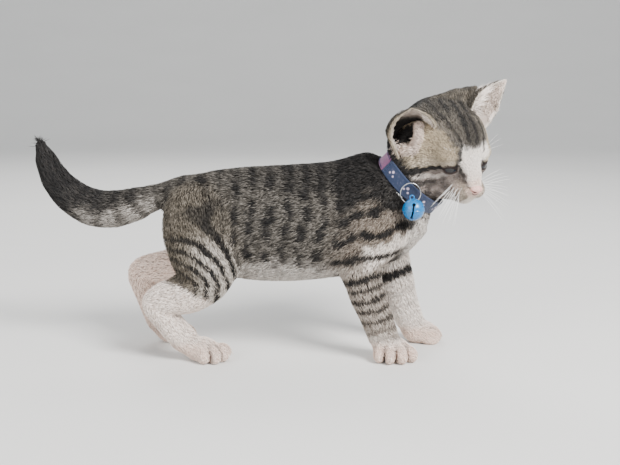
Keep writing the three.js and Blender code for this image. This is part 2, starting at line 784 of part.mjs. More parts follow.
// The ring hangs from the band, leaning out towards its lower edge.
const ringAt = onCollar(RING.at, RING.out, RING.up);
const outward = onCollar(RING.at, 1).sub(onCollar(RING.at, 0)).normalize();
const faceOut = new THREE.Quaternion()
  .setFromAxisAngle(new THREE.Vector3().crossVectors(outward, neckLine), radians(RING.lean))
  .multiply(new THREE.Quaternion().setFromUnitVectors(vector([0, 0, 1]), outward));
add(
  "ring",
  fromGeometry(
    new THREE.TorusGeometry(RING.radius, RING.wire, 5, 18),
    new THREE.Matrix4().compose(ringAt, faceOut, vector([1, 1, 1])),
  ),
  STEEL,
);

// The bell is a ball with a slot across its underside.
const bellAt = vector(BELL.at);
const slot = fromGeometry(
  new THREE.BoxGeometry(BELL.r * 2.2, BELL.slot, BELL.r * 1.5),
  new THREE.Matrix4().makeTranslation(bellAt.x, bellAt.y, bellAt.z - BELL.r * 0.95),
);
const bell = roundSolid(bellAt, ball(BELL.r), HEAD_TURN, 2);
add("bell", bell.subtract(slot), finish(0x3f9fd8, 0.25, 0.6));

// ---------------------------------------------------------------- stand the kitten on its origin

const bounds = new THREE.Box3().setFromObject(nodes);
const middle = bounds.getCenter(new THREE.Vector3());
nodes.position.set(-middle.x, -middle.y, -bounds.min.z);

export default group;
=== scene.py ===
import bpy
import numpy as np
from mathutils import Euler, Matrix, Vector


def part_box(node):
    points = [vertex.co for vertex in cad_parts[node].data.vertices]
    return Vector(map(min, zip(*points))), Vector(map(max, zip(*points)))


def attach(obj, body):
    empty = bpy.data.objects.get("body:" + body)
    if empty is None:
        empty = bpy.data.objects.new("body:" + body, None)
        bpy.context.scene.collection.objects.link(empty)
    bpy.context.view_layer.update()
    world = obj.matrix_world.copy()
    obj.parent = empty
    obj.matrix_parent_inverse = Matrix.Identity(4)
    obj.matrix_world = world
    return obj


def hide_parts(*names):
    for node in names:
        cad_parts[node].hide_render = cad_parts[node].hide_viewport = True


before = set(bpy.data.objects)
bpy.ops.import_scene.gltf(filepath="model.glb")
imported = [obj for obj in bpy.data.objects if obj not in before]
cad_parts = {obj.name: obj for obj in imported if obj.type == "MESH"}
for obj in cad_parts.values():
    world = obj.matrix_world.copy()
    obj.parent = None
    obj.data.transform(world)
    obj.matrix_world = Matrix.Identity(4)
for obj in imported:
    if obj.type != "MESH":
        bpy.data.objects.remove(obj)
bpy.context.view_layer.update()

# A tabby and white kitten of about nine weeks, standing, with its head turned to its right. It
# wears a webbing collar with a ring and a bell. Lengths are in millimetres until a mesh is
# made. +X is to the chest, +Y to the left, and +Z up. The body is one smooth form, as in the
# solids: a function that is negative inside it. The skin is that form's surface, lower by the
# depth of the coat, and the coat is tufts of solid mesh rooted in the skin.

chance = np.random.default_rng(9)
RIGHT, LEFT = -1, 1

# ------------------------------------------------------------------ sizes of the body

# Trunk: station along the body, height of the back, height of the underside, half width.
TRUNK = np.array([
    (-92, 107, 90, 8), (-84, 112, 70, 16), (-66, 118, 56, 22), (-44, 121, 49, 24),
    (-18, 122.5, 47.5, 27.5), (6, 124, 49, 28), (28, 126.5, 52, 25.5), (46, 126, 57, 22.5),
    (60, 119, 64, 19), (70, 104, 74, 13), (75, 96, 83, 7),
])
# Neck and tail: middle line and radius.
NECK = np.array([(46, 0, 107, 22), (62, -1, 115, 20.5), (69, 1, 135, 20)])
TAIL = np.array([
    (-80, 0, 105, 10), (-95, 0, 103, 7.8), (-103, 0, 100.5, 8.8), (-115, 1, 96.4, 11),
    (-128, 2, 93.8, 12), (-141, 4, 95, 12), (-153, 6, 101, 11), (-163, 8, 110.5, 9.4),
    (-169, 9, 122, 7.4), (-173, 9, 134, 3.6),
])
# Each leg: joints in the side view with their radius, the muscle at its top, and its paw. The right
# paws' toes are spread: how far each lies from the paw's middle, and which way it points.
LEGS = {
    "fore_right": dict(
        side=RIGHT, offset=19, flat=0.86, bulk=(33, 15, 87), radii=(15, 12.5, 25), tilt=20,
        joints=[(44, 84, 17), (32, 64, 13.5), (35, 46, 11.4), (42, 28, 10.2), (46, 17, 9.8)],
        paw=(53.5, 7, 25, 19, -32),
        toes=[(-9.6, -4.8, -96), (-3.6, -7.6, -84), (3.6, -7.6, -70), (9.4, -4.2, -52)]),
    "fore_left": dict(
        side=LEFT, offset=19, flat=0.86, bulk=(42, 15.5, 88), radii=(15, 12.5, 25), tilt=18,
        joints=[(52, 84, 16), (53, 64, 13), (58, 46, 11.2), (63, 28, 10), (67, 17, 9.6)],
        paw=(75.5, 7, 25, 19, 4)),
    "hind_right": dict(
        side=RIGHT, offset=20, flat=0.8, bulk=(-67, 15.5, 80), radii=(25, 13.5, 33), tilt=-14,
        joints=[(-66, 66, 19), (-63, 55, 14.5), (-75, 45, 13.5), (-88, 41, 11.4),
                (-96.5, 37.5, 9.2), (-90, 26, 8.6), (-80.5, 14.2, 8.6)],
        paw=(-68, 7, 26, 18, -20),
        toes=[(0.6, -6.4, -62), (7.0, -6.8, -46), (11.0, -2.8, -30), (11.4, 3.4, -14)]),
    "hind_left": dict(
        side=LEFT, offset=20, flat=0.8, bulk=(-69, 15.5, 80), radii=(25, 13.5, 33), tilt=-10,
        joints=[(-70, 68, 19), (-74, 58, 14.5), (-90, 53, 12), (-104, 51, 10.4),
                (-113.5, 48.5, 8.8), (-109, 31, 8.4), (-103, 15, 8.4)],
        paw=(-92, 7, 25, 18, 8)),
}
# The head's own frame: +X to the nose, +Y to its left, +Z to the crown.
HEAD_AT = np.array([86, -4, 139.3])
HEAD_TURN = np.array(Euler(np.radians([3.7, 25.6, -62.9])).to_matrix())
EYE_AT, EYE_R = np.array([21.6, 10, -6]), 5.6
NOSE_AT = np.array([39.6, 0, -13.2])
# How far the head reaches from its middle, with its ears.
HEAD_REACH = 50
# Each ear, in the head's frame: its root, its tip and the way it opens, its half width and depth, how
# far its front and back edges curl round at the root and the tip, in degrees, and how blunt its tip
# and how full its cup are.
EARS = {
    "ear_right": dict(
        side=RIGHT, base=(-4.4, -23.6, -0.8), tip=(3.3, -34.2, 26), open=(0.85, -0.45, 0.1),
        half=14.2, deep=13, curl_front=(100, 88), curl_back=(130, 108), blunt=4.0, cup=0.66),
    "ear_left": dict(
        side=LEFT, base=(-8, 20, 12.5), tip=(-6, 38.5, 35.5), open=(0.95, 0.1, 0),
        half=13.5, deep=15, curl_front=(104, 80), curl_back=(104, 80), blunt=1.9, cup=1.2),
}
# The collar: its middle, the neck's direction through it, its inner half height and half width, and
# the webbing's width and thickness.
COLLAR_AT = np.array([64.2, -1, 112.6])
COLLAR_LINE = np.array([0.66, -0.25, 0.71])
COLLAR_LINE /= np.linalg.norm(COLLAR_LINE)
COLLAR_TALL, COLLAR_ACROSS, COLLAR_WIDE, COLLAR_THICK = 22.6, 21.6, 10.0, 1.3
# Across the collar: towards the throat, and to the left.
THROAT = np.cross((0, 1, 0), COLLAR_LINE)
THROAT /= np.linalg.norm(THROAT)
COLLAR_LEFT = np.cross(COLLAR_LINE, THROAT)
# A distance that stands for far off, where a form isn't worked out.
FAR = 60.0

# ------------------------------------------------------------------ forms


def mix(a, b, t):
    return a + (b - a) * t


def ramp(value, low, high):
    """0 up to low and 1 from high on, easing between them."""
    t = np.clip((value - low) / (high - low), 0, 1)
    return t * t * (3 - 2 * t)


def blend(a, b, k):
    """Smooth union of two forms, over a width of about k."""
    h = np.clip(0.5 + 0.5 * (b - a) / k, 0, 1)
    return b + (a - b) * h - k * h * (1 - h)


def carve(a, b, k):
    """Form a with form b taken out of it."""
    return -blend(-a, b, k)


def unit(v):
    v = np.asarray(v, float)
    return v / np.maximum(np.linalg.norm(v, axis=-1, keepdims=True), 1e-9)


def egg(p, at, radii, turn=None):
    """An ellipsoid about a place, turned if asked."""
    q = p - np.asarray(at, float)
    if turn is not None:
        q = q @ turn
    near = np.linalg.norm(q / radii, axis=-1)
    slope = np.linalg.norm(q / np.square(radii), axis=-1)
    return near * (near - 1) / np.maximum(slope, 1e-9)


def smooth_line(points, steps=4):
    """Points on a smooth curve through a row of points, close together where they are."""
    p = np.asarray(points, float)
    p = np.vstack([2 * p[0] - p[1], p, 2 * p[-1] - p[-2]])
    gap = np.sqrt(np.linalg.norm(np.diff(p[:, :3], axis=0), axis=1))
    line = []
    for i in range(1, len(p) - 2):
        d0, d1, d2 = gap[i - 1:i + 2]
        a = d1 * ((p[i] - p[i - 1]) / d0 - (p[i + 1] - p[i - 1]) / (d0 + d1) + (p[i + 1] - p[i]) / d1)
        b = d1 * ((p[i + 1] - p[i]) / d1 - (p[i + 2] - p[i]) / (d1 + d2) + (p[i + 2] - p[i + 1]) / d2)
        for t in np.arange(steps) / steps:
            line.append(p[i] + a * t + (3 * (p[i + 1] - p[i]) - 2 * a - b) * t**2
                        + (2 * (p[i] - p[i + 1]) + a + b) * t**3)
    line.append(p[-2])
    return np.array(line)


def eased(values, steps=4):
    """The values between a row of values, easing in and out of each."""
    t = np.arange(steps) / steps
    t = t * t * (3 - 2 * t)
    inner = [mix(a, b, t) for a, b in zip(values[:-1], values[1:])]
    return np.append(np.concatenate(inner), values[-1])


class Limb:
    """A round limb along a smooth line through its joints."""

    def __init__(self, joints, radii, flat=1.0):
        self.line, self.radii, self.flat = smooth_line(joints), eased(radii), flat

    def __call__(self, p, way=None):
        nearest = np.full(len(p), 1e3)
        for a, b, ra, rb in zip(self.line[:-1], self.line[1:], self.radii[:-1], self.radii[1:]):
            d = b - a
            t = np.clip(((p - a) @ d) / (d @ d), 0, 1)
            q = p - a - t[:, None] * d
            q[:, 1] /= self.flat
            gap = np.linalg.norm(q, axis=1) - mix(ra, rb, t)
            if way is not None:
                way[gap < nearest] = unit(d)
            nearest = np.minimum(nearest, gap)
        return nearest

    def reach(self):
        r = self.radii.max()
        return self.line.min(0) - r, self.line.max(0) + r


def outline_of(stations, samples=120):
    """A smooth outline through the trunk's stations, as a table."""
    n = len(stations)
    rows = []
    for f in np.linspace(0, n - 1, samples + 1):
        i = min(int(f), n - 1)
        t = f - i
        p0, p1, p2, p3 = (stations[min(max(j, 0), n - 1)] for j in (i - 1, i, i + 1, i + 2))
        a, b = (p2 - p0) / 2, (p3 - p1) / 2
        rows.append((2 * p1 - 2 * p2 + a + b) * t**3 + (3 * p2 - 3 * p1 - 2 * a - b) * t**2 + a * t + p1)
    return np.array(rows)


TRUNK_LINE = outline_of(TRUNK)


def trunk_form(p):
    """Oval rings of the height and width of the trunk's outline, rounded off at its ends."""
    x = np.clip(p[:, 0], TRUNK[0, 0], TRUNK[-1, 0])
    top, low, half = (np.interp(x, TRUNK_LINE[:, 0], TRUNK_LINE[:, c]) for c in (1, 2, 3))
    tall = (top - low) / 2
    z = p[:, 2] - (top + low) / 2
    ratio = np.hypot(z / tall, p[:, 1] / half)
    slope = np.hypot(z / tall**2, p[:, 1] / half**2)
    ring = ratio * (ratio - 1) / np.maximum(slope, 1e-9)
    past = np.abs(p[:, 0] - x)
    return np.where(past > 0, np.hypot(past, np.maximum(ring, 0)), np.maximum(ring, -half))


def turn_about(axis, degrees):
    c, s = np.cos(np.radians(degrees)), np.sin(np.radians(degrees))
    return {"y": np.array([[c, 0, s], [0, 1, 0], [-s, 0, c]]),
            "z": np.array([[c, -s, 0], [s, c, 0], [0, 0, 1]])}[axis]


class Leg:
    """A leg: the muscle at its top, its limb, and a paw of a pad and four toes."""

    def __init__(self, side, offset, flat, bulk, radii, tilt, joints, paw, toes=None):
        self.bulk = (bulk[0], side * bulk[1], bulk[2])
        self.radii, self.tilt = radii, turn_about("y", tilt)
        y = side * offset
        self.limb = Limb([(x, y, z) for x, z, _ in joints], [r for *_, r in joints], flat)
        x, z, long, wide, turn = paw
        self.heading = turn_about("z", turn)
        self.place = lambda forward, across, up: self.heading @ (forward, across, 0) + (x, y, up)
        self.pad = self.place(-1, 0, z), (long * 0.46, wide * 0.48, 8)
        if toes is None:
            self.toes = [(self.place(long * (0.3 - 0.55 * a * a), a * wide, 4.9), self.heading)
                         for a in (-0.38, -0.13, 0.13, 0.38)]
            self.toe_radii = (6.6, 3.4, 5.5)
        else:
            self.toes = [(np.array([x + dx, y + dy, 5.0]), turn_about("z", way)) for dx, dy, way in toes]
            self.toe_radii = (6.4, 3.9, 5.4)
        self.gaps = [((a + b) / 2 + way_a @ (2.2, 0, 0), way_a)
                     for (a, way_a), (b, _) in zip(self.toes[:-1], self.toes[1:])]

    def between_toes(self, p):
        """Negative in the narrow gaps between the toes."""
        found = np.full(len(p), FAR)
        near = np.linalg.norm(p - self.pad[0], axis=1) < 24
        for gap, way in self.gaps:
            found[near] = np.minimum(found[near], egg(p[near], gap, (6.8, 0.5, 6.4), way))
        return found

    def __call__(self, p):
        upper = blend(egg(p, self.bulk, self.radii, self.tilt), self.limb(p), 7)
        front = egg(p, self.toes[0][0], self.toe_radii, self.toes[0][1])
        for toe, way in self.toes[1:]:
            front = blend(front, egg(p, toe, self.toe_radii, way), 1)
        foot = blend(egg(p, *self.pad, self.heading), front, 2.2)
        return blend(upper, foot, 4.5)

    def reach(self):
        low, high = self.limb.reach()
        bulk, r = np.array(self.bulk), np.array(self.radii).max()
        ends = [low, high, bulk - r, bulk + r, self.pad[0] - 18, self.pad[0] + 18]
        return np.min(ends, 0), np.max(ends, 0)


def to_head(p):
    return (p - HEAD_AT) @ HEAD_TURN


def past_collar(p):
    return (p - COLLAR_AT) @ COLLAR_LINE


def from_head(q):
    return np.asarray(q, float) @ HEAD_TURN.T + HEAD_AT


def way_from_head(v):
    return np.asarray(v, float) @ HEAD_TURN.T


def both(at, radii):
    """An egg on each side of the head."""
    return [((at[0], side * at[1], at[2]), radii) for side in (RIGHT, LEFT)]


def eggs(q, forms, k):
    """Several eggs, each blended into those before it."""
    whole = egg(q, *forms[0])
    for form in forms[1:]:
        whole = blend(whole, egg(q, *form), k)
    return whole


bridge = Limb([(20, 0, -1), (28.5, 0, -6), (36.2, 0, -12.6)], [7, 7, 4.5])


def head_form(p):
    """The cranium with its cheeks, the muzzle with its bridge, pads and chin, and the brows."""
    q = to_head(p)
    cranium = eggs(q, [((-5, 0, 0), (30, 25.5, 23)), ((10, 0, 4.5), (18, 16, 14.5)),
                       *both((5, 13.5, -11), (16, 11, 12.5)),
                       *both((15, 7.5, -20.5), (14.5, 9.5, 10))], 8)
    muzzle = eggs(q, [((25, 0, -16), (12, 10.5, 9)), *both((31.5, 5.2, -17.6), (7.4, 5.9, 5.4)),
                      ((27.5, 0, -23.4), (8.5, 6.6, 5.2))], 3.2)
    muzzle = blend(muzzle, bridge(q), 3.2)
    brows = eggs(q, both((20, 10.5, 1.4), (6, 7.5, 5)), 1)
    whole = blend(blend(cranium, muzzle, 4.5), brows, 4.5)
    # The hollows between the muzzle and the eyes, and at the temples.
    for at, radii in both((31.5, 12.2, -6), (6, 5.5, 3.8)) + both((2, 31, 4), (8, 6.5, 9)):
        whole = carve(whole, egg(q, at, radii), 3)
    return whole


neck_form = Limb(NECK[:, :3], NECK[:, 3])
tail_form = Limb(TAIL[:, :3], TAIL[:, 3])
legs = {name: Leg(**leg) for name, leg in LEGS.items()}
# Each part's form, the box it lies in, and how far past that box its form is worked out.
PARTS = {
    "trunk": (trunk_form, (np.array([-92, -28, 47]), np.array([75, 28, 127])), 18),
    "neck": (neck_form, neck_form.reach(), 18),
    "tail": (tail_form, tail_form.reach(), 12),
    **{name: (leg, leg.reach(), 12) for name, leg in legs.items()},
    "head": (head_form, (HEAD_AT - 52, HEAD_AT + 46), 10),
}


def part_forms(p):
    """The distance of each point to each part, or a large one where the part is far off."""
    found = {}
    for name, (form, (low, high), margin) in PARTS.items():
        near = ((p > low - margin) & (p < high + margin)).all(1)
        d = np.full(len(p), FAR)
        if near.any():
            d[near] = form(p[near])
        found[name] = d
    return found


def body_form(p):
    """The outside of the coat: every part, blended into one."""
    d = part_forms(p)
    whole = blend(blend(d["trunk"], d["neck"], 16), d["tail"], 7)
    for name in legs:
        whole = blend(whole, d[name], 9)
    return blend(whole, d["head"], 8)


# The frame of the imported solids: the whole model stands with its middle over the origin.
low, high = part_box("eye_right")
SHIFT = np.array(low + high) * 500 - from_head(EYE_AT * (1, RIGHT, 1))

# ------------------------------------------------------------------ the face's own detail

# Each eye's gaze, the way to its inner corner, and the way up across the lids.
eye_ways = {}
for side in (RIGHT, LEFT):
    gaze = unit((0.8, side * 0.58, 0.12))
    inner = np.array([0.5, -side * 0.85, 0.1])
    inner = unit(inner - gaze * (inner @ gaze))
    upward = np.cross(gaze, inner)
    eye_ways[side] = gaze, inner, upward * np.sign(upward[2])


def eye_place(q, side):
    """Out along the gaze, along the slit of the lids and up across it, from the slit's middle."""
    out, along, up = ((q - EYE_AT * (1, side, 1)) @ way for way in eye_ways[side])
    return out, along - 0.6, up


# The hollow at the foot of each ear: its middle, and its axes up the ear, out of it and across.
EAR_HOLLOWS = []
for ear in EARS.values():
    base, tip = np.array(ear["base"]), np.array(ear["tip"])
    upward = unit(tip - base)
    toward = unit(np.array(ear["open"]) - upward * (upward @ ear["open"]))
    axes = np.stack([upward, toward, np.cross(upward, toward)], 1)
    EAR_HOLLOWS.append((base + 0.34 * (tip - base) + 2.0 * toward, axes))

# A soft lobe stands in front of the right ear's hollow, and its rim closes under it.
EAR_LOBE = Limb([(6.0, -25.6, -1.4), (4.6, -24.4, 4.8), (0.6, -24.2, 11.8)], [2.4, 2.9, 2.0])
EAR_FOOT = Limb([(-4.5, -33.4, -1.5), (-1, -32.6, -3.6), (3.4, -29.6, -2.4)], [1.2, 1.6, 1.4])
# A ridge of flesh and hair runs from the crown up the back of the left ear.
EAR_RIDGE = Limb([(-14.5, 0.5, 15), (-12.8, 8, 19.2), (-11.4, 14.5, 23.2), (-10.9, 20, 26.2)],
                 [6.2, 6.3, 4.2, 2.0])

# How thick the lids are, and half the length of the slit between them.
LID, SLIT_HALF = 0.75, 3.6


def slit_form(q, side):
    """Negative between the lids."""
    out, along, up = eye_place(q, side)
    open_up = 1.3 * (1 - np.square(along / SLIT_HALF))
    return np.maximum(np.abs(up + 0.2) - open_up, 1.5 - out)


# The left half of the mouth, from under the nose.
mouth_line = [(38.2, 0, -17.6), (37.6, 0, -20.4), (34.5, 4.4, -22.6), (29.5, 8.2, -22.4),
              (24, 10.6, -21)]


def coat_depth(p, q):
    """How far the skin lies under the tips of the coat."""
    body = mix(1.0, 2.0, ramp(p[:, 2], 30, 70))
    body = mix(0.25, body, ramp(p[:, 2], 2, 12))
    head = mix(1.3, 0.45, ramp(q[:, 0], 2, 24))
    near_head = 1 - ramp(np.linalg.norm(q - (0, 0, -4), axis=1), 36, 46)
    return mix(body, head, near_head)


def skin_form(p):
    """The body under its coat, with the face's, the ears' and the paws' own detail."""
    q = to_head(p)
    d = body_form(p) + coat_depth(p, q)
    # The neck is narrower under the collar, and flares on both sides of it.
    r = p - COLLAR_AT
    along = r @ COLLAR_LINE
    oval = (np.hypot((r @ THROAT) / COLLAR_TALL, (r @ COLLAR_LEFT) / COLLAR_ACROSS) - 1) * 22 + 0.5
    clear = np.maximum(np.abs(along) - 5.2, 0)
    waist = (oval - 1.6 * clear - 0.6 * clear**2) / np.hypot(1, (clear > 0) * (1.6 + 1.2 * clear))
    d = np.where(np.abs(along) < 9, -blend(-d, -waist, 1.0), d)
    near = np.linalg.norm(q - (24, 0, -8), axis=1) < 30
    if near.any():
        d[near] = face_detail(q[near], d[near])
    low = p[:, 2] < 16
    for leg in legs.values():
        d[low] = carve(d[low], leg.between_toes(p[low]), 1.2)
    for at, axes in EAR_HOLLOWS:
        near = np.linalg.norm(q - at, axis=1) < 18
        if near.any():
            d[near] = carve(d[near], egg(q[near], at, (10, 4.6, 6.4), axes), 2.0)
    near = np.linalg.norm(q - (2, -27, 5), axis=1) < 22
    if near.any():
        for lobe in (EAR_LOBE, EAR_FOOT):
            d[near] = blend(d[near], lobe(q[near]), 2.0)
    near = np.linalg.norm(q - (-12, 11, 20), axis=1) < 24
    if near.any():
        d[near] = blend(d[near], EAR_RIDGE(q[near]), 3.5)
    return np.maximum(d, 0.25 - p[:, 2])


def face_detail(q, d):
    """The form d with the lids, the slit between them and the line of the mouth."""
    for side in (RIGHT, LEFT):
        d = blend(d, egg(q, EYE_AT * (1, side, 1), [EYE_R + LID] * 3), 1.6)
        d = carve(d, slit_form(q, side), 0.35)
    for side in (RIGHT, LEFT):
        for a, b in zip(mouth_line[:-1], mouth_line[1:]):
            a, b = (np.array(v) * (1, side, 1) for v in (a, b))
            w = b - a
            t = np.clip(((q - a) @ w) / (w @ w), 0, 1)
            d = carve(d, np.linalg.norm(q - a - t[:, None] * w, axis=1) - 0.7, 0.6)
    return d


# ------------------------------------------------------------------ meshing


def net(form, low, high, cell, block=4):
    """The surface of a form as points and quads, sampled finely only in the blocks near it."""
    low = np.asarray(low, float)
    count = np.ceil((np.asarray(high) - low) / (cell * block)).astype(int)
    middles = [low[i] + cell * block * (np.arange(count[i]) + 0.5) for i in range(3)]
    coarse = form(np.stack(np.meshgrid(*middles, indexing="ij"), -1).reshape(-1, 3)).reshape(count)
    # Where forms are carved, their values change up to twice as fast as distance does.
    near = np.abs(coarse) < cell * block * 1.5 + 1.5
    for axis in range(3):
        near = near.repeat(block, axis)
    corners = np.zeros(np.array(near.shape) + 1, bool)
    steps = [(i, j, k) for i in (0, 1) for j in (0, 1) for k in (0, 1)]
    for i, j, k in steps:
        corners[i:i + near.shape[0], j:j + near.shape[1], k:k + near.shape[2]] |= near
    value = np.full(corners.shape, FAR)
    at = np.argwhere(corners)
    value[corners] = np.concatenate([form(low + cell * part) for part in np.array_split(at, 8)])
    inside = value < 0
    held = sum(inside[i:i + near.shape[0], j:j + near.shape[1], k:k + near.shape[2]].astype(int)
               for i, j, k in steps)
    cells = np.argwhere((held > 0) & (held < 8) & near)
    number = np.full(near.shape, -1)
    number[tuple(cells.T)] = np.arange(len(cells))
    total, hits = np.zeros((len(cells), 3)), np.zeros(len(cells))
    for start in steps:
        for axis in range(3):
            if start[axis]:
                continue
            end = list(start)
            end[axis] = 1
            a, b = value[tuple((cells + start).T)], value[tuple((cells + end).T)]
            crosses = (a < 0) != (b < 0)
            part = np.where(crosses, a / np.where(crosses, a - b, 1), 0)
            total[crosses] += (np.array(start) + np.outer(part, np.array(end) - start))[crosses]
            hits += crosses
    points = low + cell * (cells + total / hits[:, None])
    quads = []
    for axis in range(3):
        u, v = [(1, 2), (2, 0), (0, 1)][axis]
        here = [slice(1, -1)] * 3
        here[axis] = slice(0, -1)
        there = list(here)
        there[axis] = slice(1, None)
        a, b = inside[tuple(here)], inside[tuple(there)]
        edge = np.argwhere(a != b) + 1
        edge[:, axis] -= 1
        faces = []
        for du, dv in ((1, 1), (0, 1), (0, 0), (1, 0)):
            cell_at = edge.copy()
            cell_at[:, u] -= du
            cell_at[:, v] -= dv
            faces.append(number[tuple(cell_at.T)])
        faces = np.stack(faces, 1)
        outward = inside[tuple(edge.T)]
        faces[~outward] = faces[~outward][:, ::-1]
        quads.append(faces)
    quads = np.concatenate(quads)
    return points, quads[(quads >= 0).all(1)]


def slope_of(form, p, step=0.15):
    """A form's value and slope at points."""
    here = form(p)
    return here, np.stack([(form(p + step * way) - here) / step for way in np.eye(3)], 1)


def settle(form, p, times=2):
    """The points moved onto the surface of a form."""
    for _ in range(times):
        d, slope = slope_of(form, p)
        p = p - slope * (d / np.maximum((slope**2).sum(1), 0.2))[:, None]
    return p


def put(name, data):
    """An object for the data, in the scene."""
    piece = bpy.data.objects.new(name, data)
    bpy.context.scene.collection.objects.link(piece)
    return piece


def to_piece(name, points, faces, finish, slot_name, marks=None, smooth=True, covers=()):
    """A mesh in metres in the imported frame, riding on the model's one body. Faces is an array, or
    a list of arrays of quads and triangles."""
    mesh = bpy.data.meshes.new(name)
    points = (np.asarray(points) + SHIFT) / 1000
    groups = [np.asarray(f, np.int32) for f in (faces if isinstance(faces, list) else [faces])]
    loops = np.concatenate([g.ravel() for g in groups])
    sizes = np.concatenate([np.full(len(g), g.shape[1]) for g in groups])
    starts = np.concatenate([[0], np.cumsum(sizes)[:-1]])
    mesh.vertices.add(len(points))
    mesh.vertices.foreach_set("co", points.astype(np.float32).ravel())
    mesh.loops.add(len(loops))
    mesh.loops.foreach_set("vertex_index", loops)
    mesh.polygons.add(len(sizes))
    mesh.polygons.foreach_set("loop_start", starts.astype(np.int32))
    mesh.polygons.foreach_set("use_smooth", np.full(len(sizes), smooth))
    for mark, values in (marks or {}).items():
        layer = mesh.attributes.new(mark, "FLOAT", "POINT")
        layer.data.foreach_set("value", values.astype(np.float32))
    mesh.update(calc_edges=True)
    mesh.validate()
    piece = put(name, mesh)
    mesh.materials.append(finish)
    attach(piece, "root")
    if covers:
        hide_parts(*covers)
    return piece


def grid_faces(rows, columns):
    """Quads between rows of points, each row closed on itself."""
    r, c = np.meshgrid(np.arange(rows - 1), np.arange(columns), indexing="ij")
    a, b = (r * columns + c).ravel(), (r * columns + (c + 1) % columns).ravel()
    return np.stack([a, b, b + columns, a + columns], 1)


def joined(parts):
    """Several meshes, each of points and faces, as one."""
    points, faces, count = [], [], 0
    for p, f in parts:
        points.append(p)
        faces.append(f + count)
        count += len(p)
    return np.concatenate(points), np.concatenate(faces)


# ------------------------------------------------------------------ the unwrap of the skin

# Each part of the body has its own field on the unwrap: left, bottom, width, height.
FIELDS = {
    "trunk": (0.01, 0.66, 0.58, 0.33), "neck": (0.61, 0.84, 0.16, 0.15),
    "tail": (0.61, 0.66, 0.38, 0.16),
    "fore_right": (0.01, 0.34, 0.23, 0.3), "fore_left": (0.26, 0.34, 0.23, 0.3),
    "hind_right": (0.51, 0.34, 0.23, 0.3), "hind_left": (0.76, 0.34, 0.23, 0.3),
    "head": (0.01, 0.01, 0.5, 0.31),
    "ear_right": (0.53, 0.01, 0.22, 0.31), "ear_left": (0.77, 0.01, 0.22, 0.31),
}
FIELD_NAMES = list(FIELDS)
BODY_FIELDS = [name for name in FIELD_NAMES if name not in EARS]


def along_line(p, line):
    """How far along a line each point lies, from 0 to 1, and its angle round the line."""
    lengths = np.concatenate([[0], np.cumsum(np.linalg.norm(np.diff(line, axis=0), axis=1))])
    best, place, angle = np.full(len(p), 1e9), np.zeros(len(p)), np.zeros(len(p))
    for i, (a, b) in enumerate(zip(line[:-1], line[1:])):
        d = b - a
        t = np.clip(((p - a) @ d) / (d @ d), 0, 1)
        q = p - a - t[:, None] * d
        gap = np.linalg.norm(q, axis=1)
        side = unit(np.cross(d, (0, 1, 0)))
        nearer = gap < best
        best[nearer] = gap[nearer]
        place[nearer] = (lengths[i] + t * (lengths[i + 1] - lengths[i]))[nearer]
        angle[nearer] = np.arctan2(q[:, 1], q @ side)[nearer]
    return place / lengths[-1], angle / (2 * np.pi) + 0.5


def field_place(name, p):
    """The place of a point on one field, each way from 0 to 1; the second wraps round."""
    if name == "trunk":
        return (p[:, 0] + 95) / 175, np.arctan2(p[:, 1], 85 - p[:, 2]) / (2 * np.pi) + 0.5
    if name == "head":
        q = unit(to_head(p))
        around = np.arctan2(q[:, 1], q[:, 2]) / (2 * np.pi) + 0.5
        return np.arccos(np.clip(q[:, 0], -1, 1)) / np.pi, around
    line = {"neck": neck_form, "tail": tail_form}.get(name) or legs[name].limb
    return along_line(p, line.line)


def on_field(number, s, t):
    """The place on the unwrap of a place on a field, inside a narrow margin."""
    left, bottom, width, height = np.array([FIELDS[name] for name in FIELD_NAMES])[number].T
    return left + width * (0.02 + 0.96 * s), bottom + height * (0.05 + 0.9 * t)


def nearest_field(p):
    """The number of the part that each point lies on."""
    d = part_forms(p)
    return np.argmin([d[name] for name in BODY_FIELDS], 0)


def raw_places(p, field):
    """The place of each point on its own field."""
    s, t = np.zeros(len(p)), np.zeros(len(p))
    for number, name in enumerate(BODY_FIELDS):
        mine = field == number
        if mine.any():
            s[mine], t[mine] = field_place(name, p[mine])
    return s, t


def corner_places(points, quads):
    """The unwrap's place of each corner of each face, with no face torn where its field wraps."""
    middles = points[quads].mean(1)
    field = nearest_field(middles)
    _, home = raw_places(middles, field)
    corners, fields, homes = points[quads].reshape(-1, 3), field.repeat(4), home.repeat(4)
    s, t = raw_places(corners, fields)
    t = homes + (t - homes + 0.5) % 1 - 0.5
    return np.stack(on_field(fields, s, t), 1)


# ------------------------------------------------------------------ markings


def mottle(p, size, seed, waves=9):
    """A soft random pattern, from about -1 to 1, whose patches are about that size."""
    local = np.random.default_rng(seed)
    total = np.zeros(len(p))
    for _ in range(waves):
        way = unit(local.normal(size=3)) * 2 * np.pi / (size * local.uniform(1.4, 3))
        total += np.sin(p @ way + local.uniform(0, 6.3))
    return total / np.sqrt(waves)


def streak(p, line, widths, soft=0.6):
    """1 on a streak along a line of points, with a half width at each, and 0 off it."""
    line = np.asarray(line, float)
    widths = np.broadcast_to(widths, len(line))
    inside = np.zeros(len(p))
    for a, b, wa, wb in zip(line[:-1], line[1:], widths[:-1], widths[1:]):
        d = b - a
        t = np.clip(((p - a) @ d) / (d @ d), 0, 1)
        gap = np.linalg.norm(p - a - t[:, None] * d, axis=1)
        w = mix(wa, wb, t)
        inside = np.maximum(inside, 1 - ramp(gap, w * (1 - soft * 0.5), w * (1 + soft)))
    return inside


def patch(p, at, radii, soft=0.35):
    """1 inside an egg-shaped patch and 0 outside it."""
    near = np.linalg.norm((p - at) / radii, axis=1)
    return 1 - ramp(near, 1 - soft, 1 + soft)


def mirrored(line, side):
    """A line of points given for the right side, on that side or the left."""
    return [(x, -side * y, z) for x, y, z in line]


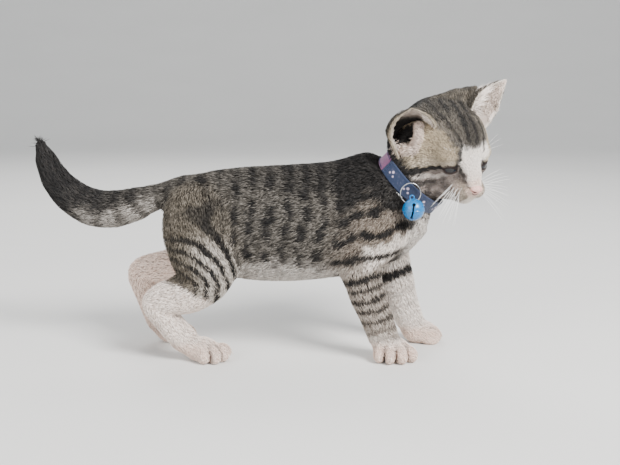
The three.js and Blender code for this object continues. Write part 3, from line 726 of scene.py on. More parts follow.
# The face's streaks, on the right side; the left side has the same.
LINER = [(28.3, -7.0, -1.9), (27.3, -9.0, -2.9), (26.2, -12.2, -3.9), (24.4, -15.2, -5.6)]
TEAR = [(28.2, -7.2, -2.2), (28.6, -6.5, -5.0), (31.4, -5.7, -7.3), (34.6, -5.0, -9.7),
        (38.0, -4.3, -12.6)]
# Painted shadow under the nose, along the top of the lip.
NOSE_SHADOW_STREAK = [(38.6, -4.4, -15.6), (39.6, -2.6, -16.6), (39.9, 0, -16.9)]
CHEEK_STREAK = [(24.8, -14.6, -5.2), (21, -16.6, -6.8), (17.8, -21.3, -8.9), (14.4, -25.9, -10.8),
                (11.4, -29.7, -11.5), (7, -32.5, -10.5)]
JAW_STREAK = [(24.5, -14.6, -15.3), (21.3, -18.0, -16.0), (18.2, -22.9, -17.3), (12, -27.5, -18)]
BROW_STREAK = [(28.3, -7.2, -1.0), (28.0, -7.6, 2.5), (26.6, -7.8, 7.5), (25.2, -7.6, 10.2),
               (22.4, -8.7, 12.9), (17.8, -10.0, 15.9), (9.8, -11.3, 18.4), (4.1, -12.2, 18.9),
               (-5.8, -11.4, 21)]
TEMPLE_STREAK = [(8, -14.6, 16.6), (1, -15.0, 18), (-7, -14.6, 18.5)]
CHEEK_PALE = [(25.5, -14.4, -10), (21.6, -17.5, -12.4), (17.3, -23.3, -13.9), (13.4, -29.6, -14.6)]
JAW_PALE = [(26, -11, -23), (17, -17, -23), (8, -21, -20)]
PAD_SPOTS = [(35.2, -9.0, -15.0), (32.4, -10.4, -15.8), (35.0, -9.1, -17.6), (32.0, -10.7, -18.6),
             (36.4, -6.8, -12.4)]
# A pale line up the middle of the brow, a little to its right.
BROW_MIDDLE = [(25.5, -4.0, 10.5), (18, -5.6, 17.2), (8, -7.0, 20.6)]
# The pale side of the face reaches up to a line on the brow and down to the streak behind the eye:
# how far out from the middle the first lies, along the head, and how high the second, going out.
BROW_EDGE = ((-8, 2, 8.5, 13, 18.6, 23.3, 27), (16.6, 16.4, 16.2, 14.9, 13.0, 10.8, 9.0))
STREAK_EDGE = ((7.3, 8.4, 13, 16.6, 21.3, 25.9, 29.7), (-1.6, -2.5, -4.2, -6.6, -8.8, -10.9, -11.5))


def face_markings(q):
    """Marks of the head, at points in its own frame."""
    rough = q + np.stack([mottle(q, 2.2, seed) for seed in (21, 22, 23)], 1) * 0.4
    x, y, z = rough.T
    out = np.abs(y)
    dark = np.zeros(len(q))

    def darker(mask, share=1.0):
        np.maximum(dark, mask * share, out=dark)

    # The blaze: between the eyes, from the brow down to the nose, and over the muzzle and chin.
    reach = np.interp(z, [-14, -8, -2, 4, 9], [3.6, 4.7, 6.8, 7.4, 7.3])
    blaze = (1 - ramp(out, reach - 1.0, reach + 1.0)) * ramp(x, 22, 25)
    blaze = blaze * (1 - ramp(z + 1.1 * mottle(q, 2.4, 36), 6.0, 11.5))
    above = ramp(z - np.interp(out, *STREAK_EDGE), -0.6, 1.0)
    side_face = ramp(out - np.interp(x, *BROW_EDGE), -0.8, 1.4) * above * (1 - ramp(out, 29.5, 33.5))
    near_streak = 1 - ramp(z - np.interp(out, *STREAK_EDGE), 1, 11)
    below = (1 - above) * ramp(out, 5.5, 9) * (1 - ramp(out, 26, 32))
    white = np.maximum.reduce([
        blaze,
        patch(rough, (34, 0, -20), (9, 12, 8)) * 0.32,
        patch(rough, (24, 0, -27), (12, 13, 6.5)) * 0.45,
        patch(rough, (27, 9, 5), (5, 6, 6), 0.6) * 0.8,
        side_face * (0.04 + 0.22 * near_streak),
        below * 0.28,
    ])
    warm = np.maximum.reduce([side_face * 0.95, patch(rough, (34, 0, -18), (9, 12, 8)) * 0.6,
                              patch(rough, (5, 0, 20), (30, 22, 14)) * 0.22])
    # A dark crown and nape, and a broad soft dark patch down the middle of the brow.
    crown = patch(rough, (-8, 1, 22), (22, 18, 13), 0.45) * (1 - 0.9 * side_face)
    nape = patch(rough, (-26, 0, 6), (19, 27, 22), 0.4)
    stripes = ramp(np.cos(2 * np.pi * (y + 0.15 * x) / 6.2) + 0.3 * mottle(q, 4, 31), -0.4, 0.9)
    darker(np.maximum(crown * mix(0.46, 0.68, stripes), nape * 0.7))
    brow = patch(rough, (17, 0, 16), (15, 8.4, 10), 0.4) * (1 - 0.35 * streak(q, BROW_MIDDLE, 0.5, 1.4))
    darker(brow * mix(0.78, 1.04, stripes), 0.68)
    # The lower cheeks and jaw are darkened in mottled patches: partly their own dark hair, partly
    # painted shade under the head.
    darker(below * ramp(mottle(q, 3.2, 33), -3.2, 1.4), 0.45)
    muzzle = patch(rough, (33, 0, -19), (9, 12, 7.5)) * (1 - blaze)
    darker(muzzle * ramp(mottle(q, 2.4, 34), -1.8, 1.0), 0.34)
    for side in (RIGHT, LEFT):
        for line, width, share in (
            (CHEEK_STREAK, (0.7, 0.9, 1.5, 2.3, 2.7, 2.5), 0.85),
            (JAW_STREAK, (0.9, 1.4, 1.7, 1.5), 0.55),
            (BROW_STREAK, (0.5, 0.5, 0.6, 0.8, 1.0, 1.2, 1.3, 1.5, 1.4), 0.62),
            (TEMPLE_STREAK, 1.3, 0.5), (LINER, (0.8, 0.9, 0.9, 0.7), 0.95),
            (TEAR, (1.1, 1.3, 1.3, 1.1, 0.8), 0.42), (NOSE_SHADOW_STREAK, (0.6, 0.9, 0.9), 0.95),
        ):
            darker(streak(rough, mirrored(line, side), width, 0.9), share)
        for spot in PAD_SPOTS:
            darker(streak(q, mirrored([spot, np.add(spot, (0.2, 0, 0.1))], side), 0.5, 1.0), 0.4)
        pale = streak(rough, mirrored(CHEEK_PALE, side), 1.7, 0.9)
        jaw = streak(rough, mirrored(JAW_PALE, side), 4.5, 0.8)
        white = np.maximum(white, np.maximum(pale * 0.75, jaw * 0.35))
        # Grey-brown below and behind each ear.
        darker(patch(rough, (-7, side * 32, -4), (11, 9, 17), 0.4), 0.72)
        darker(patch(rough, (2, side * 34, -9), (11, 8, 8), 0.4), 0.6)
    pink = np.maximum.reduce([patch(q, (39, 0, -13), (7, 6, 6)) * 0.7,
                              patch(q, (33, 0, -12), (9, 7, 9)) * 0.3, 0.3 * below])
    return {"dark": dark, "white": white * (1 - 0.75 * dark), "warm": warm, "pink": pink * (1 - dark)}


# Bars across each leg: height at the leg's middle line, half width and how dark. They tilt up
# towards the front.
LEG_BARS = {
    "fore_right": [(70, 2.2, 0.85), (57, 1.8, 0.9), (50.6, 1.4, 0.75), (43.5, 1.6, 0.8),
                   (36, 1.3, 0.75), (29, 1.3, 0.7), (22, 1.1, 0.45), (16, 1.0, 0.25)],
    "fore_left": [(64, 1.4, 0.45), (51, 2.9, 0.92), (39, 1.2, 0.25), (30, 1.2, 0.25)],
}
# The point that each thigh's bars curve round.
THIGH_MIDDLE = {"hind_right": (-84, 47), "hind_left": (-88, 52)}


def thigh_bars(x, z, middle):
    """Curved bars, six millimetres apart, round a point; the outer ones are flatter."""
    rise = z - middle[1]
    radius = np.hypot(x - middle[0], rise)
    radius = radius - 0.019 * np.maximum(radius - 31, 0) * (rise - 17)
    return np.cos(2 * np.pi * (radius - 3.2) / 6.0)


def leg_markings(name, leg, p, bands, loose, fine):
    """How dark, white and pink a leg is; bands are the shoulder's, loose and fine random patterns."""
    x, _, z = p.T
    if name.startswith("fore"):
        middle = np.interp(z, leg.limb.line[::-1, 2], leg.limb.line[::-1, 0])
        height = z - 0.25 * (x - middle) + 0.8 * loose[1]
        barred = np.zeros(len(p))
        for at, half, strength in LEG_BARS[name]:
            near = np.abs(height - at + 0.5 * fine)
            barred = np.maximum(barred, 0.88 * strength * (1 - ramp(near, half * 0.3, half * 1.9)))
        upper = ramp(z - 0.3 * (x - 30), 68, 76)
        dark = mix(barred, bands, upper)
        white = 0.8 - (0.52 * ramp(z, 9, 24) if name == "fore_right" else 0.17 * ramp(z, 12, 52))
        white = white * (1 - upper)
        pink = 0.1 + (1 - ramp(z, 7, 18)) * 0.7
        return dark, white, pink
    bars = thigh_bars(x + 0.8 * loose[0], z + 0.8 * loose[2], THIGH_MIDDLE[name])
    barred = ramp(bars + 0.2 * fine, -0.35, 0.9)
    low_front = ramp(x + 0.25 * (z - 60), -82, -60) * (1 - ramp(z, 72, 96))
    if name == "hind_left":
        below = 1 - ramp(z + 0.2 * (x + 90), 58, 70)
    else:
        edge = z + 0.6 * np.maximum(x + 77, 0) + 0.25 * np.maximum(-x - 92, 0) + 1.2 * loose[1]
        below = 1 - ramp(edge, 49.5, 53.5)
    dark = np.maximum(barred * mix(0.62, 0.85, low_front), 0.34 * (1 - low_front)) * (1 - below)
    white = np.maximum(below, mix(0.05, 0.42, low_front))
    pink = np.maximum((1 - ramp(z, 8, 20)) * 0.65, below * (0.75 if name == "hind_left" else 0.28))
    return dark, white, pink


def body_markings(p, d):
    """Marks of the trunk, neck, legs and tail; d is how far each point is from each part."""
    x, _, z = p.T
    loose = [mottle(p, 13, seed) for seed in (1, 2, 3)]
    fine = mottle(p, 4.5, 4)
    weight = {name: np.exp(-np.maximum(d[name], 0) / 2.5) for name in d}
    total = sum(weight.values())
    share = {name: w / total for name, w in weight.items()}
    # Flanks: upright bars about a centimetre apart, broken into spots.
    run = x + 1.2 + 1.5 * loose[0] - 0.05 * (z - 85)
    bars = ramp(np.cos(2 * np.pi * run / 10.8) + 0.5 * fine, -0.5, 1.1)
    breaks = np.cos(2 * np.pi * (z + 3 * loose[1] + 2.5 * np.cos(2 * np.pi * run / 21.6)) / 14)
    spots = ramp(breaks + 0.45 * fine, -0.9, 0.5)
    saddle = ramp(z + 2.0 * loose[1] + 1.5 * fine, 98, 112)
    toward_front = ramp(x, -75, 35)
    haunch = (1 - ramp(x, -62, -35)) * (1 - saddle)
    side_dark = np.maximum(bars * mix(0.42, 0.92, spots), mix(0.25, 0.36 + 0.3 * bars, haunch))
    trunk_dark = np.maximum(side_dark, saddle * mix(0.4, 0.78, toward_front) * mix(0.75, 1.1, bars))
    # The shoulder is mottled grey with a few slanting dark bands low down.
    shoulder = ramp(x - 0.1 * (z - 80), 14, 26)
    slant = (z - 0.32 * (x - 30) + 2.2 * loose[0]) / 12.2
    bands = ramp(np.cos(2 * np.pi * (slant - 0.64)) + 0.4 * fine, -0.2, 1.1) * 0.8
    mottled = 0.46 + ramp(fine + 0.8 * loose[2], -1.2, 1.1) * 0.46
    above = ramp(z - 0.4 * (x - 40), 84, 96)
    shoulder_dark = np.maximum(mix(bands, mottled, above), saddle * 0.9)
    trunk_dark = mix(trunk_dark, shoulder_dark, shoulder)
    # Chest and belly are pale. The pale band runs up from between the forelegs to the throat.
    line = z - 77.5 - 0.35 * np.maximum(x - 40, 0)
    band = ramp(x, 26, 40) * (1 - ramp(line + 1.5 * fine, -1, 3.5)) * ramp(z - 0.55 * (x - 43), 62, 68)
    belly = 1 - ramp(z + 1.8 * loose[2] + 1.2 * fine, 60, 71)
    front = ramp(x - 0.3 * (z - 70), 54, 65)
    pale = np.maximum.reduce([belly * 0.8, front * 0.9, band * 0.75])
    # Their white is held to 0.58 of full: partly their own greyer colour, partly painted shade under the
    # body.
    white = pale * share["trunk"] * 0.58
    dark = trunk_dark * (1 - 0.9 * pale) * share["trunk"]
    white += 0.03 * haunch * share["trunk"]
    bands = bands * (1 - 0.9 * band)
    # Neck: dark along its back, pale at the throat.
    throat = ramp((p - COLLAR_AT) @ THROAT + 1.5 * fine, 4, 15)
    dark += share["neck"] * (0.85 * (1 - throat) + 0.15 * fine)
    white += share["neck"] * throat * 0.6
    # Tail: pale grey at its root, dark along its top and all dark towards its tip.
    s, _ = along_line(p, tail_form.line)
    middle = np.interp(x, tail_form.line[::-1, 0], tail_form.line[::-1, 2])
    top = ramp(z - middle + 1.5 * fine, -3, 6)
    rings = ramp(np.cos(2 * np.pi * (s * 9.0 + 0.12 * loose[0])) + 0.3 * fine, -0.3, 1.0)
    end = ramp(s + 0.04 * fine, 0.42, 0.72)
    shade = mix(0.15 + 0.2 * rings + 0.3 * top * ramp(s, 0.02, 0.2), 0.22 + 0.12 * rings + 0.42 * top,
                ramp(s, 0.25, 0.45))
    dark += share["tail"] * np.maximum(end * 0.98, np.clip(shade, 0, 1))
    white += share["tail"] * (1 - end) * (0.4 - 0.3 * top) * (1 - 0.4 * rings)
    warm = 0.1 - 0.07 * shoulder
    pink = np.zeros(len(p))
    for name, leg in legs.items():
        leg_dark, leg_white, leg_pink = leg_markings(name, leg, p, bands, loose, fine)
        if name.startswith("fore"):
            leg_white = np.maximum(leg_white, band * 0.75)
        dark += share[name] * leg_dark
        white += share[name] * leg_white
        warm += share[name] * 0.25
        pink += share[name] * leg_pink
    dark = np.clip(dark, 0, 1)
    return {"dark": dark, "white": white * (1 - 0.8 * dark), "warm": warm, "pink": pink}


def markings(p):
    """How dark, white, warm, pink and bare the animal is at each point, each from 0 to 1; bare also
    holds painted shade between the toes.
    """
    d = part_forms(p)
    q = to_head(p)
    body = body_markings(p, d)
    face = face_markings(q)
    near_head = ramp(np.minimum.reduce([d["neck"], d["trunk"]]) - d["head"], -5, 4) * (d["head"] < 15)
    near_head = np.maximum(near_head, ramp(past_collar(p), 3, 7) * (1 - ramp(d["head"], 3, 8)))
    found = {mark: np.clip(mix(body[mark], face[mark], near_head), 0, 1) for mark in face}
    # The lids' rims, the lips and the corners of the eyes are bare dark skin.
    rim = np.zeros(len(p))
    close = np.linalg.norm(q - (26, 0, -10), axis=1) < 24
    if close.any():
        for side in (RIGHT, LEFT):
            out, along, up = eye_place(q[close], side)
            ring = np.hypot(along / (SLIT_HALF + 0.9), (up + 0.2) / 2.5)
            rim[close] = np.maximum(rim[close], (1 - ramp(ring, 0.9, 1.15)) * (out > 0))
            lips = streak(q[close], [np.multiply(v, (1, side, 1)) for v in mouth_line], 0.6)
            rim[close] = np.maximum(rim[close], 0.8 * lips)
    # The creases between the toes get the same dark colour, as painted shade.
    for leg in legs.values():
        rim = np.maximum(rim, 0.5 * (1 - ramp(leg.between_toes(p), 0.1, 0.9)))
    # Down in each ear the skin is darkened deep in the hollow, as painted shade, with a pale rosy edge
    # towards the face.
    for at, axes in EAR_HOLLOWS:
        r = (q - at) @ axes
        inside = 1 - ramp(np.linalg.norm((r - (1.5, 0, 0)) / (14, 7, 9.5), axis=1), 0.85, 1.1)
        deep = inside * (1 - ramp(r[:, 1], 1.5, 4.5))
        found["dark"] = mix(found["dark"], 0.8, deep)
        found["white"] = mix(found["white"], 0.55, inside * (1 - deep)) * (1 - deep)
        found["pink"] = mix(found["pink"], 0.4, inside * (1 - deep))
    ridge = 1 - ramp(EAR_RIDGE(q), 0.8, 4)
    found["dark"] = mix(found["dark"], 0.5 + 0.12 * mottle(q, 4, 35), ridge)
    found["white"] = found["white"] * (1 - ridge)
    found["warm"] = mix(found["warm"], 0.4, ridge)
    lobe = 1 - ramp(np.minimum(EAR_LOBE(q), EAR_FOOT(q)), 0.4, 1.6)
    for mark, value in (("dark", 0), ("white", 0.42), ("warm", 0.35), ("pink", 0.5)):
        found[mark] = mix(found[mark], value, lobe)
    found["rim"] = rim * (1 - lobe)
    return found


# ------------------------------------------------------------------ finishes


def colour(code):
    """An sRGB hex colour as linear RGBA."""
    parts = [int(code[i:i + 2], 16) / 255 for i in (1, 3, 5)]
    return (*[c / 12.92 if c <= 0.04045 else ((c + 0.055) / 1.055) ** 2.4 for c in parts], 1)


def add(tree, kind, inputs=(), out=0, **settings):
    """Adds a node with its settings, and its inputs set to values or linked to other nodes'
    outputs. It gives the output asked for, if the node has any."""
    node = tree.nodes.new("ShaderNode" + kind)
    for name, value in settings.items():
        setattr(node, name, value)
    for socket, value in dict(inputs).items():
        if isinstance(value, bpy.types.NodeSocket):
            tree.links.new(value, node.inputs[socket])
        else:
            node.inputs[socket].default_value = value
    return node.outputs[out] if node.outputs else None


# What a mix of colours, an attribute and an eased range are asked for.
COLOURS = dict(data_type="RGBA", out=2)
AMOUNT = dict(out="Fac")
EASED = dict(interpolation_type="SMOOTHSTEP")


def new_finish(name):
    """A material with an empty tree, and the place of each point of its piece."""
    finish = bpy.data.materials.new(name)
    finish.use_nodes = True
    tree = finish.node_tree
    tree.nodes.clear()
    return finish, tree, add(tree, "TexCoord", out="Object")


def to_surface(tree, inputs):
    """The surface shader with its inputs, and the material's output."""
    add(tree, "OutputMaterial", {"Surface": add(tree, "BsdfPrincipled", inputs)})


def grained_finish(name, grain, colours, rough, relief, surface, out=0, spread=None, painted_shade=None):
    """A finish whose colour, roughness and relief follow one fine grain. The grain is a kind of
    texture and its inputs; colours lie below and above it, and spread narrows it between them;
    rough is the grain's range and the roughness at each end; relief is the strength and depth in
    metres of its bumps. A painted shade is a mark on the piece and the darker colour it turns to,
    standing in for shade."""
    finish, tree, place = new_finish(name)
    kind, inputs = grain
    grain = add(tree, kind, {"Vector": place, **inputs}, out)
    share = add(tree, "MapRange", {0: grain, 1: spread[0], 2: spread[1]}, **EASED) if spread else grain
    low, high = map(colour, colours)
    shade = add(tree, "Mix", {0: share, 6: low, 7: high}, **COLOURS)
    if painted_shade:
        mark = add(tree, "Attribute", attribute_name=painted_shade[0], **AMOUNT)
        shade = add(tree, "Mix", {0: mark, 6: shade, 7: colour(painted_shade[1])}, **COLOURS)
    roughness = add(tree, "MapRange", {0: grain, **dict(enumerate(rough, 1))}, **EASED)
    inputs = {"Base Color": shade, "Roughness": roughness, **surface}
    if relief:
        strength, depth = relief
        bumps = {"Height": grain, "Strength": strength, "Distance": depth}
        inputs["Normal"] = add(tree, "Bump", bumps)
    to_surface(tree, inputs)
    return finish


def coat_finish(name, strands):
    """Kitten's coat: keratin hairs, each ticked pale and dark, so the colour is grainy and softly
    lit from the side. The skin under it has the same marks, darkened evenly as painted shade."""
    finish, tree, place = new_finish(name)
    marks = {mark: add(tree, "Attribute", attribute_name=mark, **AMOUNT)
             for mark in ("dark", "white", "warm", "pink", "rim", "tip", "tone")}
    # Hairs are 0.05 mm thick; the grain is drawn at 1 mm so that it shows, and clumps at 3 mm.
    fine = {"Vector": place, "Detail": 2, "Roughness": 0.6}
    grain, clumps = (add(tree, "TexNoise", {"Scale": scale, **fine}) for scale in (1000, 330))
    ticked = add(tree, "Math", {0: clumps, 1: marks["tone"]}, operation="ADD")
    ticked = add(tree, "Math", {0: ticked, 1: grain}, operation="ADD")
    share, even = (add(tree, "MapRange", {0: ticked, 1: low, 2: high}, **EASED)
                   for low, high in ((0.85, 1.85), (0.5, 1.8)))
    hair = {}
    for kind, ticks, low, high in (
        ("agouti", share, "#1a1918", "#6d6965"), ("warm", share, "#7f715d", "#c2b196"),
        ("white", even, "#dccfc4", "#fbf3ea"), ("pink", even, "#e3bba6", "#fadfce"),
        ("dark", share, "#0b0a0a", "#2b2826"),
    ):
        hair[kind] = add(tree, "Mix", {0: ticks, 6: colour(low), 7: colour(high)}, **COLOURS)
    for mark in ("white", "dark"):
        marks[mark] = add(tree, "MapRange", {0: marks[mark], 1: 0.05, 2: 0.8}, **EASED)
    # Bare dark skin at the lids and lips; between the toes the same colour is painted shade.
    hair["rim"] = colour("#2b211f")
    shade = hair["agouti"]
    for mark in ("warm", "white", "pink", "dark", "rim"):
        shade = add(tree, "Mix", {0: marks[mark], 6: shade, 7: hair[mark]}, **COLOURS)
    # Strands are darker at the root, where little light reaches, and a little lighter at the tip:
    # painted shade and painted light. The skin is darkened evenly, as painted shade.
    at_root, at_tip = (0.78, 1.06) if strands else (0.72, 0.72)
    depth = add(tree, "MapRange", {0: marks["tip"], 3: at_root, 4: at_tip}, **EASED)
    roughness = add(tree, "MapRange", {0: grain, 1: 0.3, 2: 0.7, 3: 0.62, 4: 0.85}, **EASED)
    to_surface(tree, {
        "Base Color": add(tree, "HueSaturation", {"Value": depth, "Color": shade}),
        "Roughness": roughness,
        "Normal": add(tree, "Bump", {"Height": grain, "Strength": 0.2, "Distance": 0.0004}),
        "IOR": 1.55, "Specular IOR Level": 0.15, "Sheen Weight": 0.03, "Sheen Roughness": 0.5,
    })
    return finish


def eye_finish():
    """Eye: a wet, clear cornea over a grey-blue iris with a dark rim and a wide dark pupil."""
    finish, tree, place = new_finish("kitten_eye_wet_cornea")
    off = add(tree, "Attribute", attribute_name="off_axis", **AMOUNT)
    # The iris's fibres are 0.1 mm wide; they are drawn at 0.6 mm so that they show.
    fibres = add(tree, "TexNoise", {"Vector": place, "Scale": 1800, "Detail": 2})
    share, past_pupil, past_iris = (
        add(tree, "MapRange", {0: value, 1: low, 2: high}, **EASED)
        for value, low, high in ((fibres, 0.3, 0.7), (off, 0.46, 0.54), (off, 0.74, 0.86)))
    # The iris's colours are kept dark, partly as painted shade under the half-closed lids.
    iris = add(tree, "Mix", {0: share, 6: colour("#12191f"), 7: colour("#2a3944")}, **COLOURS)
    shade = add(tree, "Mix", {0: past_pupil, 6: colour("#07080a"), 7: iris}, **COLOURS)
    shade = add(tree, "Mix", {0: past_iris, 6: shade, 7: colour("#15161a")}, **COLOURS)
    to_surface(tree, {"Base Color": shade, "Roughness": 0.06, "IOR": 1.376,
                      "Coat Weight": 0.4, "Coat Roughness": 0.02})
    return finish


def webbing_finish(name, warp, weft, dot, twill):
    """Nylon webbing: shiny threads woven tight, each a little rounded, dyed; the dots are printed on
    and sit flat and matt on the weave."""
    finish, tree, place = new_finish(name)
    along, across, dots = (add(tree, "Attribute", attribute_name=mark, **AMOUNT)
                           for mark in ("along", "across", "dots"))
    # Threads are 0.35 mm wide; they are drawn at 0.6 mm so that they show.
    run, rise = (add(tree, "Math", {0: way, 1: 2 * np.pi / 0.6}, operation="MULTIPLY")
                 for way in (along, across))
    lean = add(tree, "Math", {0: rise, 1: twill, 2: run}, operation="MULTIPLY_ADD")
    ridge, cross = (add(tree, "Math", {0: angle}, operation="SINE") for angle in (lean, rise))
    woven = add(tree, "Math", {0: ridge, 1: cross}, operation="MULTIPLY")
    # Lint clings in wisps of a millimetre.
    lint = add(tree, "TexNoise", {"Vector": place, "Scale": 900, "Detail": 3})
    share = add(tree, "MapRange", {0: woven, 1: -0.8, 2: 0.8}, **EASED)
    fluff = add(tree, "MapRange", {0: lint, 1: 0.5, 2: 0.8, 3: 0, 4: 0.12}, **EASED)
    shade = add(tree, "Mix", {0: share, 6: colour(weft), 7: colour(warp)}, **COLOURS)
    for cover in (fluff, dots):
        shade = add(tree, "Mix", {0: cover, 6: shade, 7: colour(dot)}, **COLOURS)
    roughness = add(tree, "MapRange", {0: lint, 1: 0.3, 2: 0.7, 3: 0.5, 4: 0.75}, **EASED)
    bump = add(tree, "Bump", {"Height": woven, "Strength": 0.5, "Distance": 0.0003})
    to_surface(tree, {"Base Color": shade, "Roughness": roughness, "Normal": bump, "IOR": 1.53,
                      "Sheen Weight": 0.1})
    return finish


coat = coat_finish("kitten_coat_hair", True)
hide = coat_finish("kitten_skin_and_down", False)
eye_cornea = eye_finish()
# Nose leather: bare, finely pebbled skin, damp enough to shine softly. Its pebbles are 0.5 mm.
# Its nostrils and underside are darkened as painted shade.
nose_leather = grained_finish(
    "nose_leather", ("TexVoronoi", {"Scale": 2200}), ("#e6bfb4", "#c4968b"), (0, 1, 0.35, 0.55),
    (0.4, 0.0002), {"IOR": 1.4}, "Distance", spread=(0.1, 0.7), painted_shade=("hole", "#3b2220"))
# Horn: smooth keratin, slightly clear, so its colour shifts a little every 2.5 mm along it.
HORN_GRAIN, HORN_SURFACE = ("TexNoise", {"Scale": 400, "Detail": 2}), {"IOR": 1.55}
whisker_keratin = grained_finish(
    "whisker_keratin", HORN_GRAIN, ("#efeae2", "#ffffff"), (0.2, 0.8, 0.27, 0.43), None, HORN_SURFACE)
claw_horn = grained_finish(
    "claw_horn", HORN_GRAIN, ("#d9c3b2", "#f4e9dc"), (0.2, 0.8, 0.22, 0.38), None, HORN_SURFACE)
# Dyed navy, and dyed mauve with a twill.
blue_webbing = webbing_finish("blue_collar_webbing", "#062750", "#041730", "#c9b9cc", 0.0)
pink_webbing = webbing_finish("pink_collar_webbing", "#9d5a87", "#5f375a", "#efd9e4", 0.5)
# Sewing thread: two plies of polyester, twisted, so its shine runs in small slanting steps, a third
# of a millimetre apart.
stitching_thread = grained_finish(
    "stitching_thread", ("TexWave", {"Scale": 900, "Distortion": 1.5}), ("#16223f", "#33456f"),
    (0, 1, 0.4, 0.65), (0.4, 0.0002), {"IOR": 1.57}, "Fac")
# Moulded acetal: waxy white plastic, with faint flow marks 2 mm long.
lug_acetal = grained_finish(
    "collar_lug_plastic", ("TexNoise", {"Scale": 500, "Detail": 3, "Distortion": 1.0}),
    ("#e4e4e0", "#f7f6f2"), (0.3, 0.7, 0.28, 0.45), (0.15, 0.0002), {"IOR": 1.48})
# Nickel-plated spring steel: bright grey metal, polished. The marks of drawing the wire are 0.1 mm
# wide; they are drawn at 0.7 mm so that they show.
wire_nickel = grained_finish(
    "ring_nickel_wire", ("TexNoise", {"Scale": 1500, "Detail": 3}), ("#a9abad", "#cfd1d2"),
    (0.3, 0.7, 0.16, 0.34), (0.1, 0.0001), {"Metallic": 1.0})
# Stamped brass under a thick sky-blue stoving lacquer, hard and glossy, a little uneven every 3 mm.
# Its inside is darkened, as painted shade.
bell_lacquer = grained_finish(
    "bell_sky_blue_lacquer", ("TexNoise", {"Scale": 350, "Detail": 3}), ("#014e86", "#0476b2"),
    (0.3, 0.7, 0.22, 0.36), (0.12, 0.0003), {"IOR": 1.5, "Coat Weight": 0.2, "Coat Roughness": 0.08},
    painted_shade=("within", "#0b2a48"))

# ------------------------------------------------------------------ the skin

# Rows along each ear and points round it, the depth of its coat, and its wall's thickness.
EAR_ROWS, EAR_FAN = 40, 26
EAR_COAT, EAR_WALL = 0.5, 1.1


def ear_point(name, v, u, inner):
    """A point of an ear's wall: v from its root, 0, to its tip, 1; u from -1 to 1 round its back,
    with its front edge at 1 on the right ear and -1 on the left."""
    ear = EARS[name]
    root, tip = from_head(ear["base"]), from_head(ear["tip"])
    up, length = unit(tip - root), np.linalg.norm(tip - root)
    front = way_from_head(ear["open"])
    front = unit(front - up * (front @ up))
    across = np.cross(up, front)
    rise = np.maximum(v, 0)
    w = ear["half"] * (0.75 + 0.75 * np.minimum(rise, 0.4)) * (1 - rise ** ear["blunt"]) + 1.3 - inner
    d = ear["deep"] * (1 - rise) ** ear["cup"] + 0.9 - inner
    w, d = np.maximum(w, 0.12), np.maximum(d, 0.12)
    forward = ramp(-u * ear["side"], -0.6, 0.6)
    curl = np.radians(mix(mix(*ear["curl_back"], rise), mix(*ear["curl_front"], rise), forward))
    return (root + np.outer(length * v, up) + np.outer(np.sin(u * curl) * w, across)
            + np.outer(ear["deep"] * 0.35 * (1 - rise) - d * np.cos(u * curl), front))


def ear_mesh(name):
    """An ear's wall: points and faces, and where each point lies on it."""
    v = np.linspace(-0.3, 0.985, EAR_ROWS)
    u = np.linspace(-1, 1, EAR_FAN)
    vv, uu = np.meshgrid(v, u, indexing="ij")
    back = ear_point(name, vv.ravel(), uu.ravel(), EAR_COAT).reshape(EAR_ROWS, EAR_FAN, 3)
    wall = EAR_COAT + EAR_WALL
    hollow = ear_point(name, vv.ravel(), uu.ravel(), wall).reshape(EAR_ROWS, EAR_FAN, 3)[:, ::-1]
    points = np.concatenate([back, hollow], 1)
    grid = points.shape[:2]
    top = (EAR_ROWS - 1) * 2 * EAR_FAN
    caps = np.array([[i, 2 * EAR_FAN - 1 - i, 2 * EAR_FAN - 2 - i, i + 1] for i in range(EAR_FAN - 1)])
    faces = np.concatenate([grid_faces(EAR_ROWS, 2 * EAR_FAN), caps, (caps + top)[:, ::-1]])
    a, b, c, d = points.reshape(-1, 3)[faces].transpose(1, 0, 2)
    volume = (np.cross(c - a, d - b) * a).sum()
    if volume < 0:
        faces = faces[:, ::-1]
    return dict(points=points.reshape(-1, 3), faces=faces,
                v=np.broadcast_to(v[:, None], grid).ravel(),
                u=np.broadcast_to(np.concatenate([u, u[::-1]]), grid).ravel(),
                inside=np.broadcast_to(np.arange(2 * EAR_FAN) >= EAR_FAN, grid).ravel())


def ear_marks(name, v, u, inside):
    """Ear: dark grey-brown back, narrow cream rim, and inside the right ear painted shade, dark
    towards its back and low down, and pale and rosy towards its front. The left ear, turned to the
    light, is cream inside, with a little painted shade low in its hollow."""
    rise = np.clip(v, 0, 1)
    forward = -u * EARS[name]["side"]
    low, high = (0.88, 0.96) if name == "ear_left" else (0.7, 0.92)
    outer, top = (0.955, 0.93) if name == "ear_left" else (0.82, 0.8)
    edge = np.maximum(inside * ramp(np.abs(u), low, high), ramp(np.abs(u), outer, 0.99))
    edge = np.maximum(edge, inside * ramp(rise, top, 0.97))
    hollow = inside * (1 - edge)
    back = (1 - inside) * (1 - 0.75 * edge)
    # deep is the painted shade in the hollow.
    if name == "ear_right":
        deep = hollow * (1 - ramp(forward, 0.1, 0.6)) * mix(0.8, 0.12, ramp(rise, 0.35, 0.8))
    else:
        deep = 0.25 * hollow * (1 - ramp(rise, 0.1, 0.4)) * (1 - ramp(np.abs(u), 0.35, 0.9))
    cream = 0.5 if name == "ear_left" else 0.24
    return {"dark": np.clip(0.6 * back + deep, 0, 1),
            "white": cream * edge + 0.5 * hollow * (1 - deep),
            "warm": 0.9 * edge + 0.3 * hollow + 0.45 * back,
            "pink": 0.35 * hollow * (1 - deep), "rim": 0 * v}


